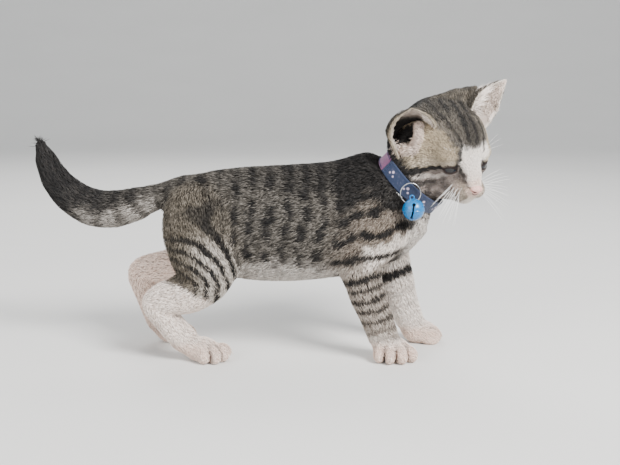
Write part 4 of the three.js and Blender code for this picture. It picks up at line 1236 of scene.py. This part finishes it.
def ear_places(name, v, u, inside):
    """Where points of an ear's wall lie on the unwrap, its back below its hollow."""
    t = np.where(inside, 0.75 - 0.24 * u, 0.25 + 0.24 * u)
    return np.stack(on_field(FIELD_NAMES.index(name), (v + 0.3) / 1.3, t), -1)


BODY_CELL, HEAD_CELL = 1.38, 0.66


def skin_sheets():
    """The skin behind the collar and the finer skin in front of it, as points and quads. Each is
    closed by a flat cap under the collar."""
    body_low, body_high = np.array([-178, -42, -2]), np.array([88, 42, 142])
    head_low, head_high = HEAD_AT - 58, HEAD_AT + 48
    sheets = []
    for form, low, high, cell in (
        (lambda p: np.maximum(skin_form(p), past_collar(p) - 2), body_low, body_high, BODY_CELL),
        (lambda p: np.maximum(skin_form(p), -2 - past_collar(p)), head_low, head_high, HEAD_CELL),
    ):
        points, quads = net(form, low, high, cell)
        moved = settle(skin_form, points)
        cap = np.abs(form(points) - skin_form(points)) > 0.3 * cell
        points[~cap] = moved[~cap]
        sheets.append((points, quads))
    return sheets


def lay_on_unwrap(piece, places):
    layer = piece.data.uv_layers.new(name="OFBake")
    layer.data.foreach_set("uv", np.asarray(places, np.float32).ravel())


MARKS = ("dark", "white", "warm", "pink", "rim")
# The solids that the skin stands for.
FLESH = ["trunk", "neck", "head", "face", *EARS, "tail_base", "tail_middle", "tail_tip"]
FLESH += [f"{part}_{side}" for side in ("right", "left")
          for part in ("foreleg_upper", "foreleg_lower", "forepaw", "thigh", "shank", "hind_foot")]

# Each part of the skin: its points, its faces, their corners' places on the unwrap, and its marks.
sheets = skin_sheets()
layers = [(points, quads, corner_places(points, quads), markings(points)) for points, quads in sheets]
for name in EARS:
    ear = ear_mesh(name)
    corner = ear["faces"].ravel()
    places = ear_places(name, ear["v"][corner], ear["u"][corner], ear["inside"][corner])
    found = ear_marks(name, ear["v"], ear["u"], ear["inside"].astype(float))
    layers.append((ear["points"], ear["faces"], places, found))
skin_points, skin_faces = joined([layer[:2] for layer in layers])
skin_marks = {mark: np.concatenate([found[mark] for *_, found in layers]) for mark in MARKS}
skin_marks |= {"tip": np.zeros(len(skin_points)), "tone": np.full(len(skin_points), 0.4)}
skin = to_piece("skin", skin_points, skin_faces, hide, "pale_fur", skin_marks, covers=FLESH)
lay_on_unwrap(skin, np.concatenate([places for _, _, places, _ in layers]))

# ------------------------------------------------------------------ the coat


def lay_of(p, d):
    """Which way the hair lies at each point: back from the nose, down the legs, along the tail."""
    q = to_head(p)
    ways = {"trunk": np.broadcast_to((-1.0, 0, -0.28), p.shape),
            "neck": np.broadcast_to(unit(-COLLAR_LINE + (0, 0, -0.25)), p.shape),
            "head": way_from_head(unit(q - (44, 0, -12)))}
    for name, limb in (("tail", tail_form), *((name, leg.limb) for name, leg in legs.items())):
        near = d[name] < 12
        way = np.zeros((near.sum(), 3))
        limb(p[near], way)
        ways[name] = np.zeros_like(p)
        ways[name][near] = way
        if name in legs:
            leg = legs[name]
            foot = 1 - ramp(p[:, 2], 9, 17)
            forward = leg.heading @ (1, 0, -0.35)
            ways[name] = mix(ways[name], np.broadcast_to(forward, p.shape), foot[:, None])
    return unit(sum(way * np.exp(-np.maximum(d[name], 0) / 3)[:, None] for name, way in ways.items()))


def scatter(points, quads, density):
    """Evenly spread random places on the faces, at a density for each face."""
    a, b, c, d = points[quads].transpose(1, 0, 2)
    area = np.linalg.norm(np.cross(c - a, d - b), axis=1) / 2
    running = np.concatenate([[0], np.cumsum(area * density)])
    n = int(running[-1])
    at = (np.arange(n) + chance.random(n)) * running[-1] / n
    face = np.clip(np.searchsorted(running, at) - 1, 0, len(quads) - 1)
    s, t = chance.random((2, n, 1))
    return mix(mix(a[face], b[face], s), mix(d[face], c[face], s), t)


# A tuft has three corners at the root, three half way, and a tip. Its sides, its end and its root:
TUFT_FACES = np.array([(0, 1, 4, 3), (1, 2, 5, 4), (2, 0, 3, 5)])
TUFT_TIPS = np.array([(3, 4, 6), (4, 5, 6), (5, 3, 6), (2, 1, 0)])
# How far along the tuft each corner lies, and where it lies on the tuft's own patch of the unwrap.
TUFT_ALONG = (0, 0, 0, 0.6, 0.6, 0.6, 1.0)
TUFT_PATCH = 0.003
TUFT_PLACES = TUFT_PATCH / 2 * np.array([
    (-1, -1), (1, -1), (0, -0.6), (-0.8, 0.4), (0.8, 0.4), (0, 0.5), (0, 1)])
# A piece of the coat holds no more tufts than this; each tuft is ten triangles, so a piece has
# fewer than 200,000.
MOST_TUFTS = 19000


def make_tufts(name, root, normal, lay, length, width, rise, values, places, slot_name, form=None,
               sway=0.25):
    """Flat tapering tufts. Each lies along the coat, and its tip stands rise above the skin, or
    above a form that the skin follows."""
    n = len(root)
    lay = unit(lay - normal * (lay * normal).sum(1, keepdims=True))
    side = np.cross(normal, lay)
    lay = unit(lay + side * chance.normal(0, sway, (n, 1)))
    side = np.cross(normal, lay)
    length = (length * chance.uniform(0.7, 1.3, n))[:, None]
    width = (width * chance.uniform(0.75, 1.25, n))[:, None]
    rise = (rise * chance.uniform(0.7, 1.2, n))[:, None]
    bend = side * length * chance.normal(0, 0.05, (n, 1))
    middle = root + lay * length * 0.5 + normal * rise * 0.8 + bend
    tip = root + lay * length + normal * rise
    if form is not None:
        for _ in range(2):
            for at, share in ((middle, 0.8), (tip, 1.0)):
                d = form(at)[:, None]
                at += normal * np.clip(rise * share - d, -2.5, 2.5)
    base = root - normal * 0.3
    # The outermost corner comes second, so that the faces look outward.
    corners = [base + side * width / 2, base + normal * (width * 0.35 + 0.1), base - side * width / 2,
               middle + side * width * 0.45, middle + normal * width * 0.3,
               middle - side * width * 0.45, tip]
    points = np.stack(corners, 1).reshape(-1, 3)
    points[:, 2] = np.maximum(points[:, 2], 0.05)
    first = (len(corners) * np.arange(n))[:, None, None]
    quads, tips = (TUFT_FACES + first).reshape(-1, 4), (TUFT_TIPS + first).reshape(-1, 3)
    marks = {mark: np.repeat(value, len(corners)) for mark, value in values.items()}
    marks["tip"] = np.tile(TUFT_ALONG, n)
    marks["tone"] = np.repeat(chance.random(n), len(corners))
    piece = to_piece(name, points, [quads, tips], coat, slot_name, marks)
    spots = (places[:, None] + TUFT_PLACES).reshape(-1, 2)
    corner = np.zeros(len(piece.data.loops), np.int32)
    piece.data.loops.foreach_get("vertex_index", corner)
    lay_on_unwrap(piece, spots[corner])


def coat_size(p, q, d):
    """Length, width and density of the tufts at each place."""
    names = ("trunk", "neck", "tail", *legs, "head")
    nearest = np.argmin([d[name] for name in names], 0)
    table = {"trunk": (6.5, 0.8, 1.45), "neck": (6, 0.8, 1.4), "tail": (7, 0.85, 1.5),
             "head": (3.6, 0.5, 3.2)}
    size = np.array([table.get(name, (4.5, 0.62, 1.7)) for name in names])[nearest]
    paw = (1 - ramp(p[:, 2], 7, 26))[:, None]
    size = mix(size, np.array([2.1, 0.42, 3.0]), paw)
    face = (ramp(q[:, 0], 8, 24) * (np.linalg.norm(q, axis=1) < HEAD_REACH))[:, None]
    return mix(size, np.array([1.7, 0.34, 5.0]), face)


def in_eye(q):
    """Whether a place in the head's frame is between the lids, or just by them."""
    found = np.zeros(len(q), bool)
    for side in (RIGHT, LEFT):
        out, along, up = eye_place(q, side)
        found |= (np.hypot(along / (SLIT_HALF + 0.5), (up + 0.2) / 2.1) < 1) & (out > 0)
    return found


def coat_roots():
    """Where the tufts of the body and head stand on the skin."""
    groups = []
    for points, quads in sheets:
        middles = points[quads].mean(1)
        d = part_forms(middles)
        size = coat_size(middles, to_head(middles), d)
        density = size[:, 2] * 1
        past = past_collar(middles)
        mine = past < 1 if points is sheets[0][0] else past > 1
        # Nothing grows under the collar, on the soles, in the eyes or on the nose.
        q = to_head(middles)
        near_head = np.linalg.norm(q, axis=1) < HEAD_REACH
        bare = (np.abs(past) < 4.6) & (np.linalg.norm(middles - COLLAR_AT, axis=1) < 28)
        bare |= (middles[:, 2] < 0.6) | (near_head & in_eye(q))
        for leg in legs.values():
            bare |= leg.between_toes(middles) < 0.3
        bare |= np.linalg.norm((q - NOSE_AT) / (3.6, 4.4, 3.4), axis=1) < 1
        groups.append(settle(skin_form, scatter(points, quads, density * mine * ~bare), 1))
    return np.concatenate(groups)


# Each piece of the coat: its slot and the fields of the unwrap it grows on.
COAT_PIECES = (
    ("coat_head", "head_fur", ("head",)), ("coat_trunk", "tabby_fur", ("trunk", "neck")),
    ("coat_tail", "dark_fur", ("tail",)), ("coat_forelegs", "tabby_fur", ("fore_right", "fore_left")),
    ("coat_hindlegs", "pale_fur", ("hind_right", "hind_left")),
)


def build_coat():
    """The tufts of the body and head, in pieces that each lie on one part of the unwrap."""
    root = coat_roots()
    _, normal = slope_of(skin_form, root)
    normal = unit(normal)
    d = part_forms(root)
    q = to_head(root)
    size = coat_size(root, q, d)
    lay = lay_of(root, d)
    flat = unit(lay - normal * (lay * normal).sum(1, keepdims=True))
    keep = ~in_eye(to_head(root + flat * size[:, :1]))
    root, normal, lay, size, q = root[keep], normal[keep], lay[keep], size[keep], q[keep]
    d = {name: value[keep] for name, value in d.items()}
    depth = coat_depth(root, q)
    found = markings(root)
    field = nearest_field(root)
    places = np.stack(on_field(field, *raw_places(root, field)), 1)
    for region, slot_name, fields in COAT_PIECES:
        chosen = np.flatnonzero(np.isin(field, [FIELD_NAMES.index(name) for name in fields]))
        chosen = chosen[np.argsort(root[chosen, 0])]
        parts = np.array_split(chosen, int(np.ceil(len(chosen) / MOST_TUFTS)))
        for number, i in enumerate(parts, 1):
            make_tufts(f"{region}_{number}", root[i], normal[i], lay[i], size[i, 0], size[i, 1],
                       depth[i] * 0.9 + 0.1, {mark: found[mark][i] for mark in MARKS}, places[i],
                       slot_name, skin_form)


def ear_frame(name, v, u, inner):
    """Place, outward direction and upward direction at points of an ear's wall."""
    step = 0.01
    here = ear_point(name, v, u, inner)
    above = ear_point(name, np.minimum(v + step, 0.99), u, inner)
    up = unit(above - ear_point(name, v - step, u, inner))
    along = unit(ear_point(name, v, u + step, inner) - ear_point(name, v, u - step, inner))
    out = unit(np.cross(up, along))
    front = way_from_head(EARS[name]["open"])
    middle = np.abs(u) < 0.3
    if ((out @ front)[middle].mean() if middle.any() else 0) > 0:
        out = -out
    return here, out, up


# The two kinds of long hair in each ear: how many hairs, how far up the ear, how long, how much they
# rise towards its tip, and how far they reach across it.
EAR_HAIRS = {
    "ear_right": dict(fringe=(700, (0, 0.72), (5, 8), 0.9, (0.4, 1.2)),
                      brush=(160, (0.1, 0.9), (3.0, 3.0), 0.8, (0.2, 0.9))),
    "ear_left": dict(fringe=(700, (0, 0.5), (7, 13), 0.45, (0.4, 1.2)),
                     brush=(420, (0.1, 0.62), (3.5, 7), 0.1, (0.2, 0.9))),
}


def build_ear_coat():
    """The tufts of each ear, as one piece."""
    for name, ear in EARS.items():
        side = ear["side"]
        share = 1
        sets = []
        # Short hair on the back and the rim, then down on the inner wall.
        for inside, count, length, width in ((0, 3400, 2.0, 0.4), (1, 1500, 2.2, 0.34)):
            n = int(count * share)
            within = chance.uniform(*((0.15, 0.93) if inside else (0.0, 0.95)), n)
            behind = 1 - np.sqrt(1 - chance.uniform(0.0, 0.97, n))
            v, u = within if inside else behind, chance.uniform(-1, 1, n)
            here, out, up = ear_frame(name, v, u, EAR_COAT + EAR_WALL * inside)
            sets.append((here, -out if inside else out, up, np.full(n, length), np.full(n, width),
                         np.full(n, 0.5), v, u, np.full(n, inside)))
        top = way_from_head(unit(np.subtract(ear["tip"], ear["base"])))
        front = way_from_head(ear["open"])
        inward = side * unit(np.cross(top, front))
        # A fringe of long pale hairs from the front edge, across the hollow.
        count, tall, long, rising, reach = EAR_HAIRS[name]["fringe"]
        n = int(count * share)
        v, u = chance.uniform(*tall, n), -side * chance.uniform(0.5, 0.9, n)
        here, out, _ = ear_frame(name, v, u, EAR_COAT + EAR_WALL)
        lay = unit(rising * top + inward * chance.uniform(*reach, (n, 1)) + 0.25 * front)
        length = chance.uniform(*long, n)
        sets.append((here, -out, lay, length * (1 - 0.45 * v), np.full(n, 0.34),
                     chance.uniform(0.6, 2.6, n), v, u, np.full(n, 2)))
        # A brush of hairs standing out past the outer edge; on the left ear it is long, low down.
        count, tall, long, rising, reach = EAR_HAIRS[name]["brush"]
        n = int(count * share)
        v, u = chance.uniform(*tall, n), side * chance.uniform(0.94, 1.0, n)
        here, out, _ = ear_frame(name, v, u, EAR_COAT + EAR_WALL)
        across = chance.uniform(*reach, (n, 1)) + (0.5 if side == LEFT else 0)
        lay = unit(rising * top + inward * across)
        length = chance.uniform(*long, n) if side == LEFT else np.full(n, long[0])
        sets.append((here, -out, lay, length, np.full(n, 0.3), np.full(n, 0.8), v, u, np.full(n, 2)))
        here, out, lay, length, width, rise, v, u, inside = (
            np.concatenate(part) for part in zip(*sets))
        found = ear_marks(name, v, u, np.minimum(inside, 1).astype(float))
        for mark, value in (("dark", 0), ("white", 0.85), ("warm", 0.2), ("pink", 0.2)):
            found[mark][inside == 2] = value
        make_tufts(f"coat_{name}", here, out, lay, length, width, rise, found,
                   ear_places(name, v, u, inside > 0), "head_fur", sway=0.18)


build_coat()
build_ear_coat()

# ------------------------------------------------------------------ eyes


def ball(radius, swell, rings=28, turns=40):
    """A ball about the origin, as rows of points from pole to pole along X. It swells at each angle
    from the first pole. It gives points, faces, those angles, and the two small end faces."""
    a, b = np.meshgrid(np.linspace(0.02, np.pi - 0.02, rings),
                       np.linspace(0, 2 * np.pi, turns, endpoint=False), indexing="ij")
    way = np.stack([np.cos(a), np.sin(a) * np.cos(b), np.sin(a) * np.sin(b)], -1).reshape(-1, 3)
    angle = a.ravel()
    ends = np.array([np.arange(turns)[::-1], np.arange(turns) + (rings - 1) * turns])
    return way * (radius + swell(angle))[:, None], grid_faces(rings, turns), angle, ends


def build_eyes():
    """Both eyeballs, with the cornea standing half a millimetre out."""
    points, faces, angle, _ = ball(EYE_R, lambda a: 0.5 * (1 - ramp(a, 0.3, 0.8)))
    for side, name in ((RIGHT, "eye_right"), (LEFT, "eye_left")):
        turned = points @ np.stack(eye_ways[side])
        to_piece(f"{name}_ball", from_head(turned + EYE_AT * (1, side, 1)), faces, eye_cornea, "eye",
                 {"off_axis": angle}, covers=[name])


# ------------------------------------------------------------------ nose


def nose_form(q):
    """The nose pad in the head's frame, with its nostrils, the slits beside them and its groove."""
    d = egg(q, NOSE_AT - (0.4, 0, -0.5), (2.6, 4.1, 2.4))
    d = blend(d, egg(q, NOSE_AT - (0.9, 0, 1.4), (1.9, 2.1, 2.6)), 1.2)
    for side in (RIGHT, LEFT):
        d = carve(d, egg(q, NOSE_AT + (1.5, side * 1.9, -0.4), (1.6, 0.9, 0.7)), 0.5)
        d = carve(d, egg(q, NOSE_AT + (0.2, side * 3.2, 0.1), (2.2, 1.2, 0.4)), 0.3)
    groove = np.hypot(q[:, 0] - NOSE_AT[0] - 1.6, q[:, 1] * 3) - 0.9
    return carve(d, np.maximum(groove, q[:, 2] - NOSE_AT[2] + 0.6), 0.4)


def build_nose():
    points, quads = net(nose_form, NOSE_AT - 6, NOSE_AT + 6, 0.22)
    points = settle(nose_form, points)
    # Painted shade in the nostrils and along the underside of the pad.
    hole = np.zeros(len(points))
    for side in (RIGHT, LEFT):
        hole = np.maximum(hole, patch(points, NOSE_AT + (1.3, side * 1.9, -0.4), (1.5, 0.95, 0.75), 0.2))
    hole = np.maximum(hole, 0.8 * (1 - ramp(points[:, 2] - NOSE_AT[2], -2.3, -1.5)))
    to_piece("nose_leather", from_head(points), quads, nose_leather, "nose_skin", {"hole": hole},
             covers=["nose"])


# ------------------------------------------------------------------ whiskers and claws


def tapered(points, radii, sides=6):
    """A round tapering rod along a line of points."""
    points = np.asarray(points, float)
    along = unit(np.gradient(points, axis=0))
    side = unit(np.cross(along, (0.31, 0.2, 0.93)))
    other = np.cross(along, side)
    angle = np.linspace(0, 2 * np.pi, sides, endpoint=False)
    ring = np.cos(angle)[None, :, None] * side[:, None] + np.sin(angle)[None, :, None] * other[:, None]
    whole = points[:, None] + ring * np.asarray(radii)[:, None, None]
    return whole.reshape(-1, 3), grid_faces(len(points), sides)


def whisker(root, way, length, droop, thick):
    """A whisker from a place on the head, along a direction in the body's frame, drooping."""
    t = np.linspace(-0.06, 1, 14)[:, None]
    line = from_head(root) + unit(way) * length * t + np.array([0, 0, -droop]) * length * t**2
    return tapered(line, thick * (1 - 0.8 * np.clip(t[:, 0], 0, 1)))


def build_whiskers():
    parts = []
    # Four rows on each pad. The right ones hang down past the chin; the left ones stand out in front.
    for row in range(4):
        for place in range(4 if row < 3 else 3):
            root = np.array([35.0 - 2.0 * place, -8.0 - 0.75 * place, -14.0 - 1.7 * row])
            way = np.array([-0.1 - 0.17 * place - 0.1 * (3 - row), -0.22 - 0.05 * place, -0.75])
            way = way + chance.normal(0, 0.05, 3)
            parts.append(whisker(root, way, chance.uniform(17, 25) * (1 - 0.06 * place), 0.05, 0.15))
            root = root * (1, -1, 1)
            way = np.array([0.9, -0.12 + 0.1 * place, 0.36 - 0.42 * row + 0.06 * place])
            way = way + chance.normal(0, 0.05, 3)
            parts.append(whisker(root, way, chance.uniform(14, 21), 0.14, 0.14))
    # Three above each eye.
    for place in range(3):
        root = np.array([24.0 - 1.4 * place, 10.5 + 1.3 * place, 3.6 + 0.4 * place])
        parts.append(whisker(root, (0.8 - 0.1 * place, -0.3, 0.45 + 0.2 * place), 13, 0.1, 0.11))
        root = root * (1, -1, 1)
        parts.append(whisker(root, (-0.15 - 0.2 * place, -0.7, 0.55), 9, 0.1, 0.1))
    to_piece("whiskers", *joined(parts), whisker_keratin, "head_fur")


def build_claws():
    """A claw at each toe, curving down into the fur."""
    parts = []
    for leg in legs.values():
        for toe, turn in leg.toes:
            way = turn @ (1, 0, 0)
            root = toe + way * 4.8 + (0, 0, 0.6)
            t = np.linspace(0, 1, 8)[:, None]
            line = root + way * 3.0 * t + np.array([0, 0, -1.0]) * (2.6 * t**2) + (0, 0, 0.2)
            line[:, 2] = np.maximum(line[:, 2], 0.6)
            parts.append(tapered(line, 0.62 * (1 - 0.85 * t[:, 0]), 8))
    to_piece("claws", *joined(parts), claw_horn, "pale_fur")


# ------------------------------------------------------------------ collar, lug, ring and bell


def on_collar(degrees, out, up):
    """A point on the collar: degrees round from the throat, out from its inner face, and up the
    neck."""
    t = np.radians(degrees)
    away = unit(np.stack([np.cos(t) / COLLAR_TALL, np.sin(t) / COLLAR_ACROSS], -1))
    front = COLLAR_TALL * np.cos(t) + out * away[..., 0]
    side = -COLLAR_ACROSS * np.sin(t) - out * away[..., 1]
    return COLLAR_AT + (np.multiply.outer(front, THROAT) + np.multiply.outer(side, COLLAR_LEFT)
                        + np.multiply.outer(np.broadcast_to(up, np.shape(front)), COLLAR_LINE))


def strap(name, start, end, finish, slot_name, covers, dotted):
    """A length of the webbing, with rounded selvages, a slight bead along each, and rounded ends."""
    step = 0.22
    arc = np.radians(end - start) * (COLLAR_TALL + COLLAR_ACROSS) / 2
    rows = int(arc / step)
    run = np.linspace(0, arc, rows)
    half, edge = COLLAR_WIDE / 2, 0.6
    flat = np.linspace(-half + edge, half - edge, 34)
    bead = 0.12 * np.exp(-np.square((np.abs(flat) - half + 0.8) / 0.35))
    bend = np.radians(np.linspace(-90, 90, 9)[1:-1])
    high = COLLAR_THICK - 0.14
    round_out, round_up = half - edge + edge * np.cos(bend), high / 2 * (1 - np.sin(bend))
    profile = np.concatenate([
        np.stack([flat, high + bead], 1),
        np.stack([round_out, round_up], 1),
        np.stack([flat[::-1][::3], np.full(len(flat[::3]), 0.06)], 1),
        np.stack([-round_out[::-1], round_up[::-1]], 1)])
    close = np.clip(np.minimum(run, arc - run) / 0.45, 0, 1)
    close = 0.25 + 0.75 * np.sqrt(1 - np.square(1 - close))
    degrees = np.broadcast_to((start + (end - start) * run / arc)[:, None], (rows, len(profile)))
    up = np.broadcast_to(profile[None, :, 0], degrees.shape)
    out = high / 2 + (profile[None, :, 1] - high / 2) * close[:, None]
    points = on_collar(degrees, out, up).reshape(-1, 3)
    faces = grid_faces(rows, len(profile))
    first = np.arange(len(profile))
    caps = np.array([first[::-1], first + (rows - 1) * len(profile)])
    a, b, c, d = points[faces].transpose(1, 0, 2)
    if (np.cross(c - a, d - b) * (a - COLLAR_AT)).sum() < 0:
        faces, caps = faces[:, ::-1], caps[:, ::-1]
    along = np.broadcast_to(run[:, None], degrees.shape).ravel()
    across = up.ravel()
    dots = np.zeros(len(points))
    if dotted:
        # Three dots in a group every 13 mm.
        here = (along + 4.5) % 13 - 6.5
        for x, y, r in ((-1.5, -0.9, 0.62), (0.2, 1.1, 0.85), (1.8, -0.7, 0.62)):
            dots = np.maximum(dots, 1 - ramp(np.hypot(here - x, across - y), r - 0.18, r + 0.18))
        dots *= out.ravel() > high * 0.8
    to_piece(name, points, [faces, caps], finish, slot_name,
             {"along": along, "across": across, "dots": dots}, covers=covers)


def build_stitches():
    """Rows of stitches along both edges of the pink length, and two across the blue at each end
    of it."""
    parts = []
    top = COLLAR_THICK - 0.1
    lift = np.array([-0.25, 0.1, 0.2, 0.24, 0.2, 0.1, -0.25])
    for edge in (-3.7, 3.7):
        for start in np.arange(151, 208, 3.9):
            line = on_collar(start + np.linspace(0, 2.9, 7), top + lift, edge)
            parts.append(tapered(line, np.full(7, 0.24), 8))
    for degrees in (143.5, 139.5, 216.5, 220.5):
        for start in np.arange(-4.2, 3.2, 1.55):
            line = on_collar(np.full(7, degrees), top + lift, start + np.linspace(0, 1.15, 7))
            parts.append(tapered(line, np.full(7, 0.22), 8))
    to_piece("collar_stitches", *joined(parts), stitching_thread, "blue_webbing")


def box_form(q, half, round_by):
    """A box with rounded edges, about the origin."""
    d = np.abs(q) - np.asarray(half) + round_by
    return np.linalg.norm(np.maximum(d, 0), axis=1) + np.minimum(d.max(1), 0) - round_by


def build_lug():
    """A small moulded bar below the collar's edge, with a thicker end and a waist."""
    middle = on_collar(97.0, 0.85, -6.45)
    outward = unit(on_collar(97.0, 2.0, -6.45) - middle)
    axes = np.stack([unit(np.cross(COLLAR_LINE, outward)), outward, COLLAR_LINE], 1)

    def form(p):
        q = (p - middle) @ axes
        bar = box_form(q, (2.6, 0.7, 1.05), 0.45)
        head = box_form(q - (2.0, 0.1, 0), (0.75, 0.8, 1.1), 0.4)
        neck = np.hypot(q[:, 0] - 0.9, np.abs(q[:, 2]) - 1.35) - 0.55
        return carve(blend(bar, head, 0.3), neck, 0.3)

    points, quads = net(form, middle - 4.5, middle + 4.5, 0.16)
    to_piece("lug_moulding", settle(form, points), quads, lug_acetal, "white_plastic",
             covers=["collar_lug"])


RING_R, WIRE_R = 6.2, 0.27


def build_ring():
    """A split ring: almost two turns of thin wire lying against each other."""
    middle = on_collar(88.0, 4.1, 1.0)
    outward = unit(on_collar(88.0, 5.0, 1.0) - middle)
    hinge = unit(np.cross(outward, COLLAR_LINE))
    lean = np.radians(16)
    normal = outward * np.cos(lean) + np.cross(hinge, outward) * np.sin(lean)
    one = unit(np.cross(normal, COLLAR_LINE))
    other = np.cross(normal, one)
    t = np.linspace(0, 3.75 * np.pi, 300)
    rise = 0.56 * (ramp(t, 1.72 * np.pi, 2.02 * np.pi) - 0.5)
    around = RING_R * (np.outer(np.cos(t), one) + np.outer(np.sin(t), other))
    thick = np.full(len(t), WIRE_R)
    thick[[0, -1]] = 0.1
    to_piece("ring_coil", *tapered(middle + around + np.outer(rise, normal), thick, 14), wire_nickel,
             "steel_wire", covers=["ring"])


BELL_AT, BELL_R, BELL_WALL = np.array([62.2, -33.8, 99.2]), 6.7, 0.7
PELLET_R = 1.6


def bell_form(p):
    """A hollow ball with a rolled seam round its middle, a slot down its front with a hole at each
    end, and a loop on top."""
    q = p - BELL_AT
    r = np.linalg.norm(q, axis=1)
    shell = np.maximum(r - BELL_R + 0.1, BELL_R - BELL_WALL - r)
    seam = np.maximum(np.abs(q[:, 2] + 0.4) - 0.35, np.abs(r - BELL_R + 0.3) - 0.38)
    shell = blend(shell, seam, 0.25)
    across = q[:, 0] - 0.14 * q[:, 2] + 1.0
    angle = np.degrees(np.arctan2(q[:, 2], -q[:, 1]))
    slot = np.maximum.reduce([np.abs(across) - 0.5, np.abs(angle + 6) * 0.11 - 4.6, q[:, 1] + 0.5])
    for tall in (36, -48):
        hole = BELL_R * np.array([0, -np.cos(np.radians(tall)), np.sin(np.radians(tall))])
        hole = hole + (0.14 * hole[2] - 1.0, 0, 0)
        slot = np.minimum(slot, np.linalg.norm(q - hole, axis=1) - 1.15)
    shell = carve(shell, slot, 0.15)
    tab = q - (-0.9, 1.2, BELL_R + 0.5)
    ring = np.hypot(np.hypot(tab[:, 0], tab[:, 2]) - 1.25, tab[:, 1]) - 0.42
    return blend(shell, ring, 0.3)


def build_bell():
    cell = 0.2
    points, quads = net(bell_form, BELL_AT - 8.5, BELL_AT + (8.5, 8.5, 10), cell)
    points = settle(bell_form, points)
    # The inside of the shell is darkened, as painted shade.
    within = 1 - ramp(np.linalg.norm(points - BELL_AT, axis=1), BELL_R - BELL_WALL, BELL_R - 0.4)
    to_piece("bell_shell", points, quads, bell_lacquer, "bell_paint", {"within": within},
             covers=["bell"])
    # The pellet lies on the floor of the shell, slightly uneven.
    seat = BELL_AT - (0, 0.6, BELL_R - BELL_WALL - PELLET_R - 0.15)
    points, faces, _, ends = ball(PELLET_R, lambda a: 0.03 * np.cos(5 * a), 20, 28)
    to_piece("bell_pellet", points + seat, [faces, ends], wire_nickel, "steel_wire")


build_eyes()
build_nose()
build_whiskers()
build_claws()
strap("collar_webbing_blue", 212.5, 507.5, blue_webbing, "blue_webbing", ["collar_band"], True)
strap("collar_webbing_pink", 148.0, 212.0, pink_webbing, "pink_webbing", ["collar_pink"], False)
build_stitches()
build_lug()
build_ring()
build_bell()

# ------------------------------------------------------------------ stage, light and camera


def studio():
    # The floor rises behind in one long curve, so that no edge shows.
    floor = bpy.data.meshes.new("floor_sweep")
    wide, near, bend, radius, tall = 3.0, -2.0, 1.5, 1.2, 2.4
    turn = np.linspace(0, np.pi / 2, 30)
    curve = zip(bend + radius * np.sin(turn), radius - radius * np.cos(turn))
    line = [(near, 0.0), *curve, (bend + radius, tall)]
    corners = [(x, y, z) for y, z in line for x in (-wide, wide)]
    strips = [(2 * i, 2 * i + 1, 2 * i + 3, 2 * i + 2) for i in range(len(line) - 1)]
    floor.from_pydata(corners, [], strips)
    floor.polygons.foreach_set("use_smooth", [True] * len(strips))
    # Matt paint, very slightly uneven.
    finish, tree, _ = new_finish("studio_floor_paint")
    speck = add(tree, "TexNoise", {"Scale": 30, "Detail": 2})
    shade = add(tree, "Mix", {0: speck, 6: colour("#d5d3cf"), 7: colour("#dbd9d5")}, **COLOURS)
    to_surface(tree, {"Base Color": shade, "Roughness": 0.8})
    floor.materials.append(finish)
    put("floor_sweep", floor)

    world = bpy.data.worlds.new("studio_air")
    world.use_nodes = True
    world.node_tree.nodes["Background"].inputs[0].default_value = colour("#dfe4ea")
    world.node_tree.nodes["Background"].inputs[1].default_value = 1.0
    bpy.context.scene.world = world

    # Each lamp: where it stands, how wide it is in metres, and its power in watts.
    for name, at, size, power in (
        ("key", (0.75, -0.75, 0.95), 0.5, 42),
        ("fill", (-0.9, -0.9, 0.6), 0.9, 12),
        ("rim", (-0.2, 0.9, 0.9), 0.7, 8),
    ):
        lamp = put(name, bpy.data.lights.new(name, "AREA"))
        lamp.data.energy, lamp.data.size = power, size
        lamp.location = at
        lamp.rotation_euler = (Vector((0, 0, 0.09)) - Vector(at)).to_track_quat("-Z", "Y").to_euler()

    # The camera stands off the right flank, a little higher than the head.
    camera = put("camera", bpy.data.cameras.new("camera"))
    camera.data.lens, camera.data.sensor_width = 49.47, 36
    camera.location = (0.0258, -0.5372, 0.179)
    camera.rotation_euler = (np.radians(79.5), 0, 0)
    bpy.context.scene.camera = camera


studio()

bpy.context.view_layer.update()
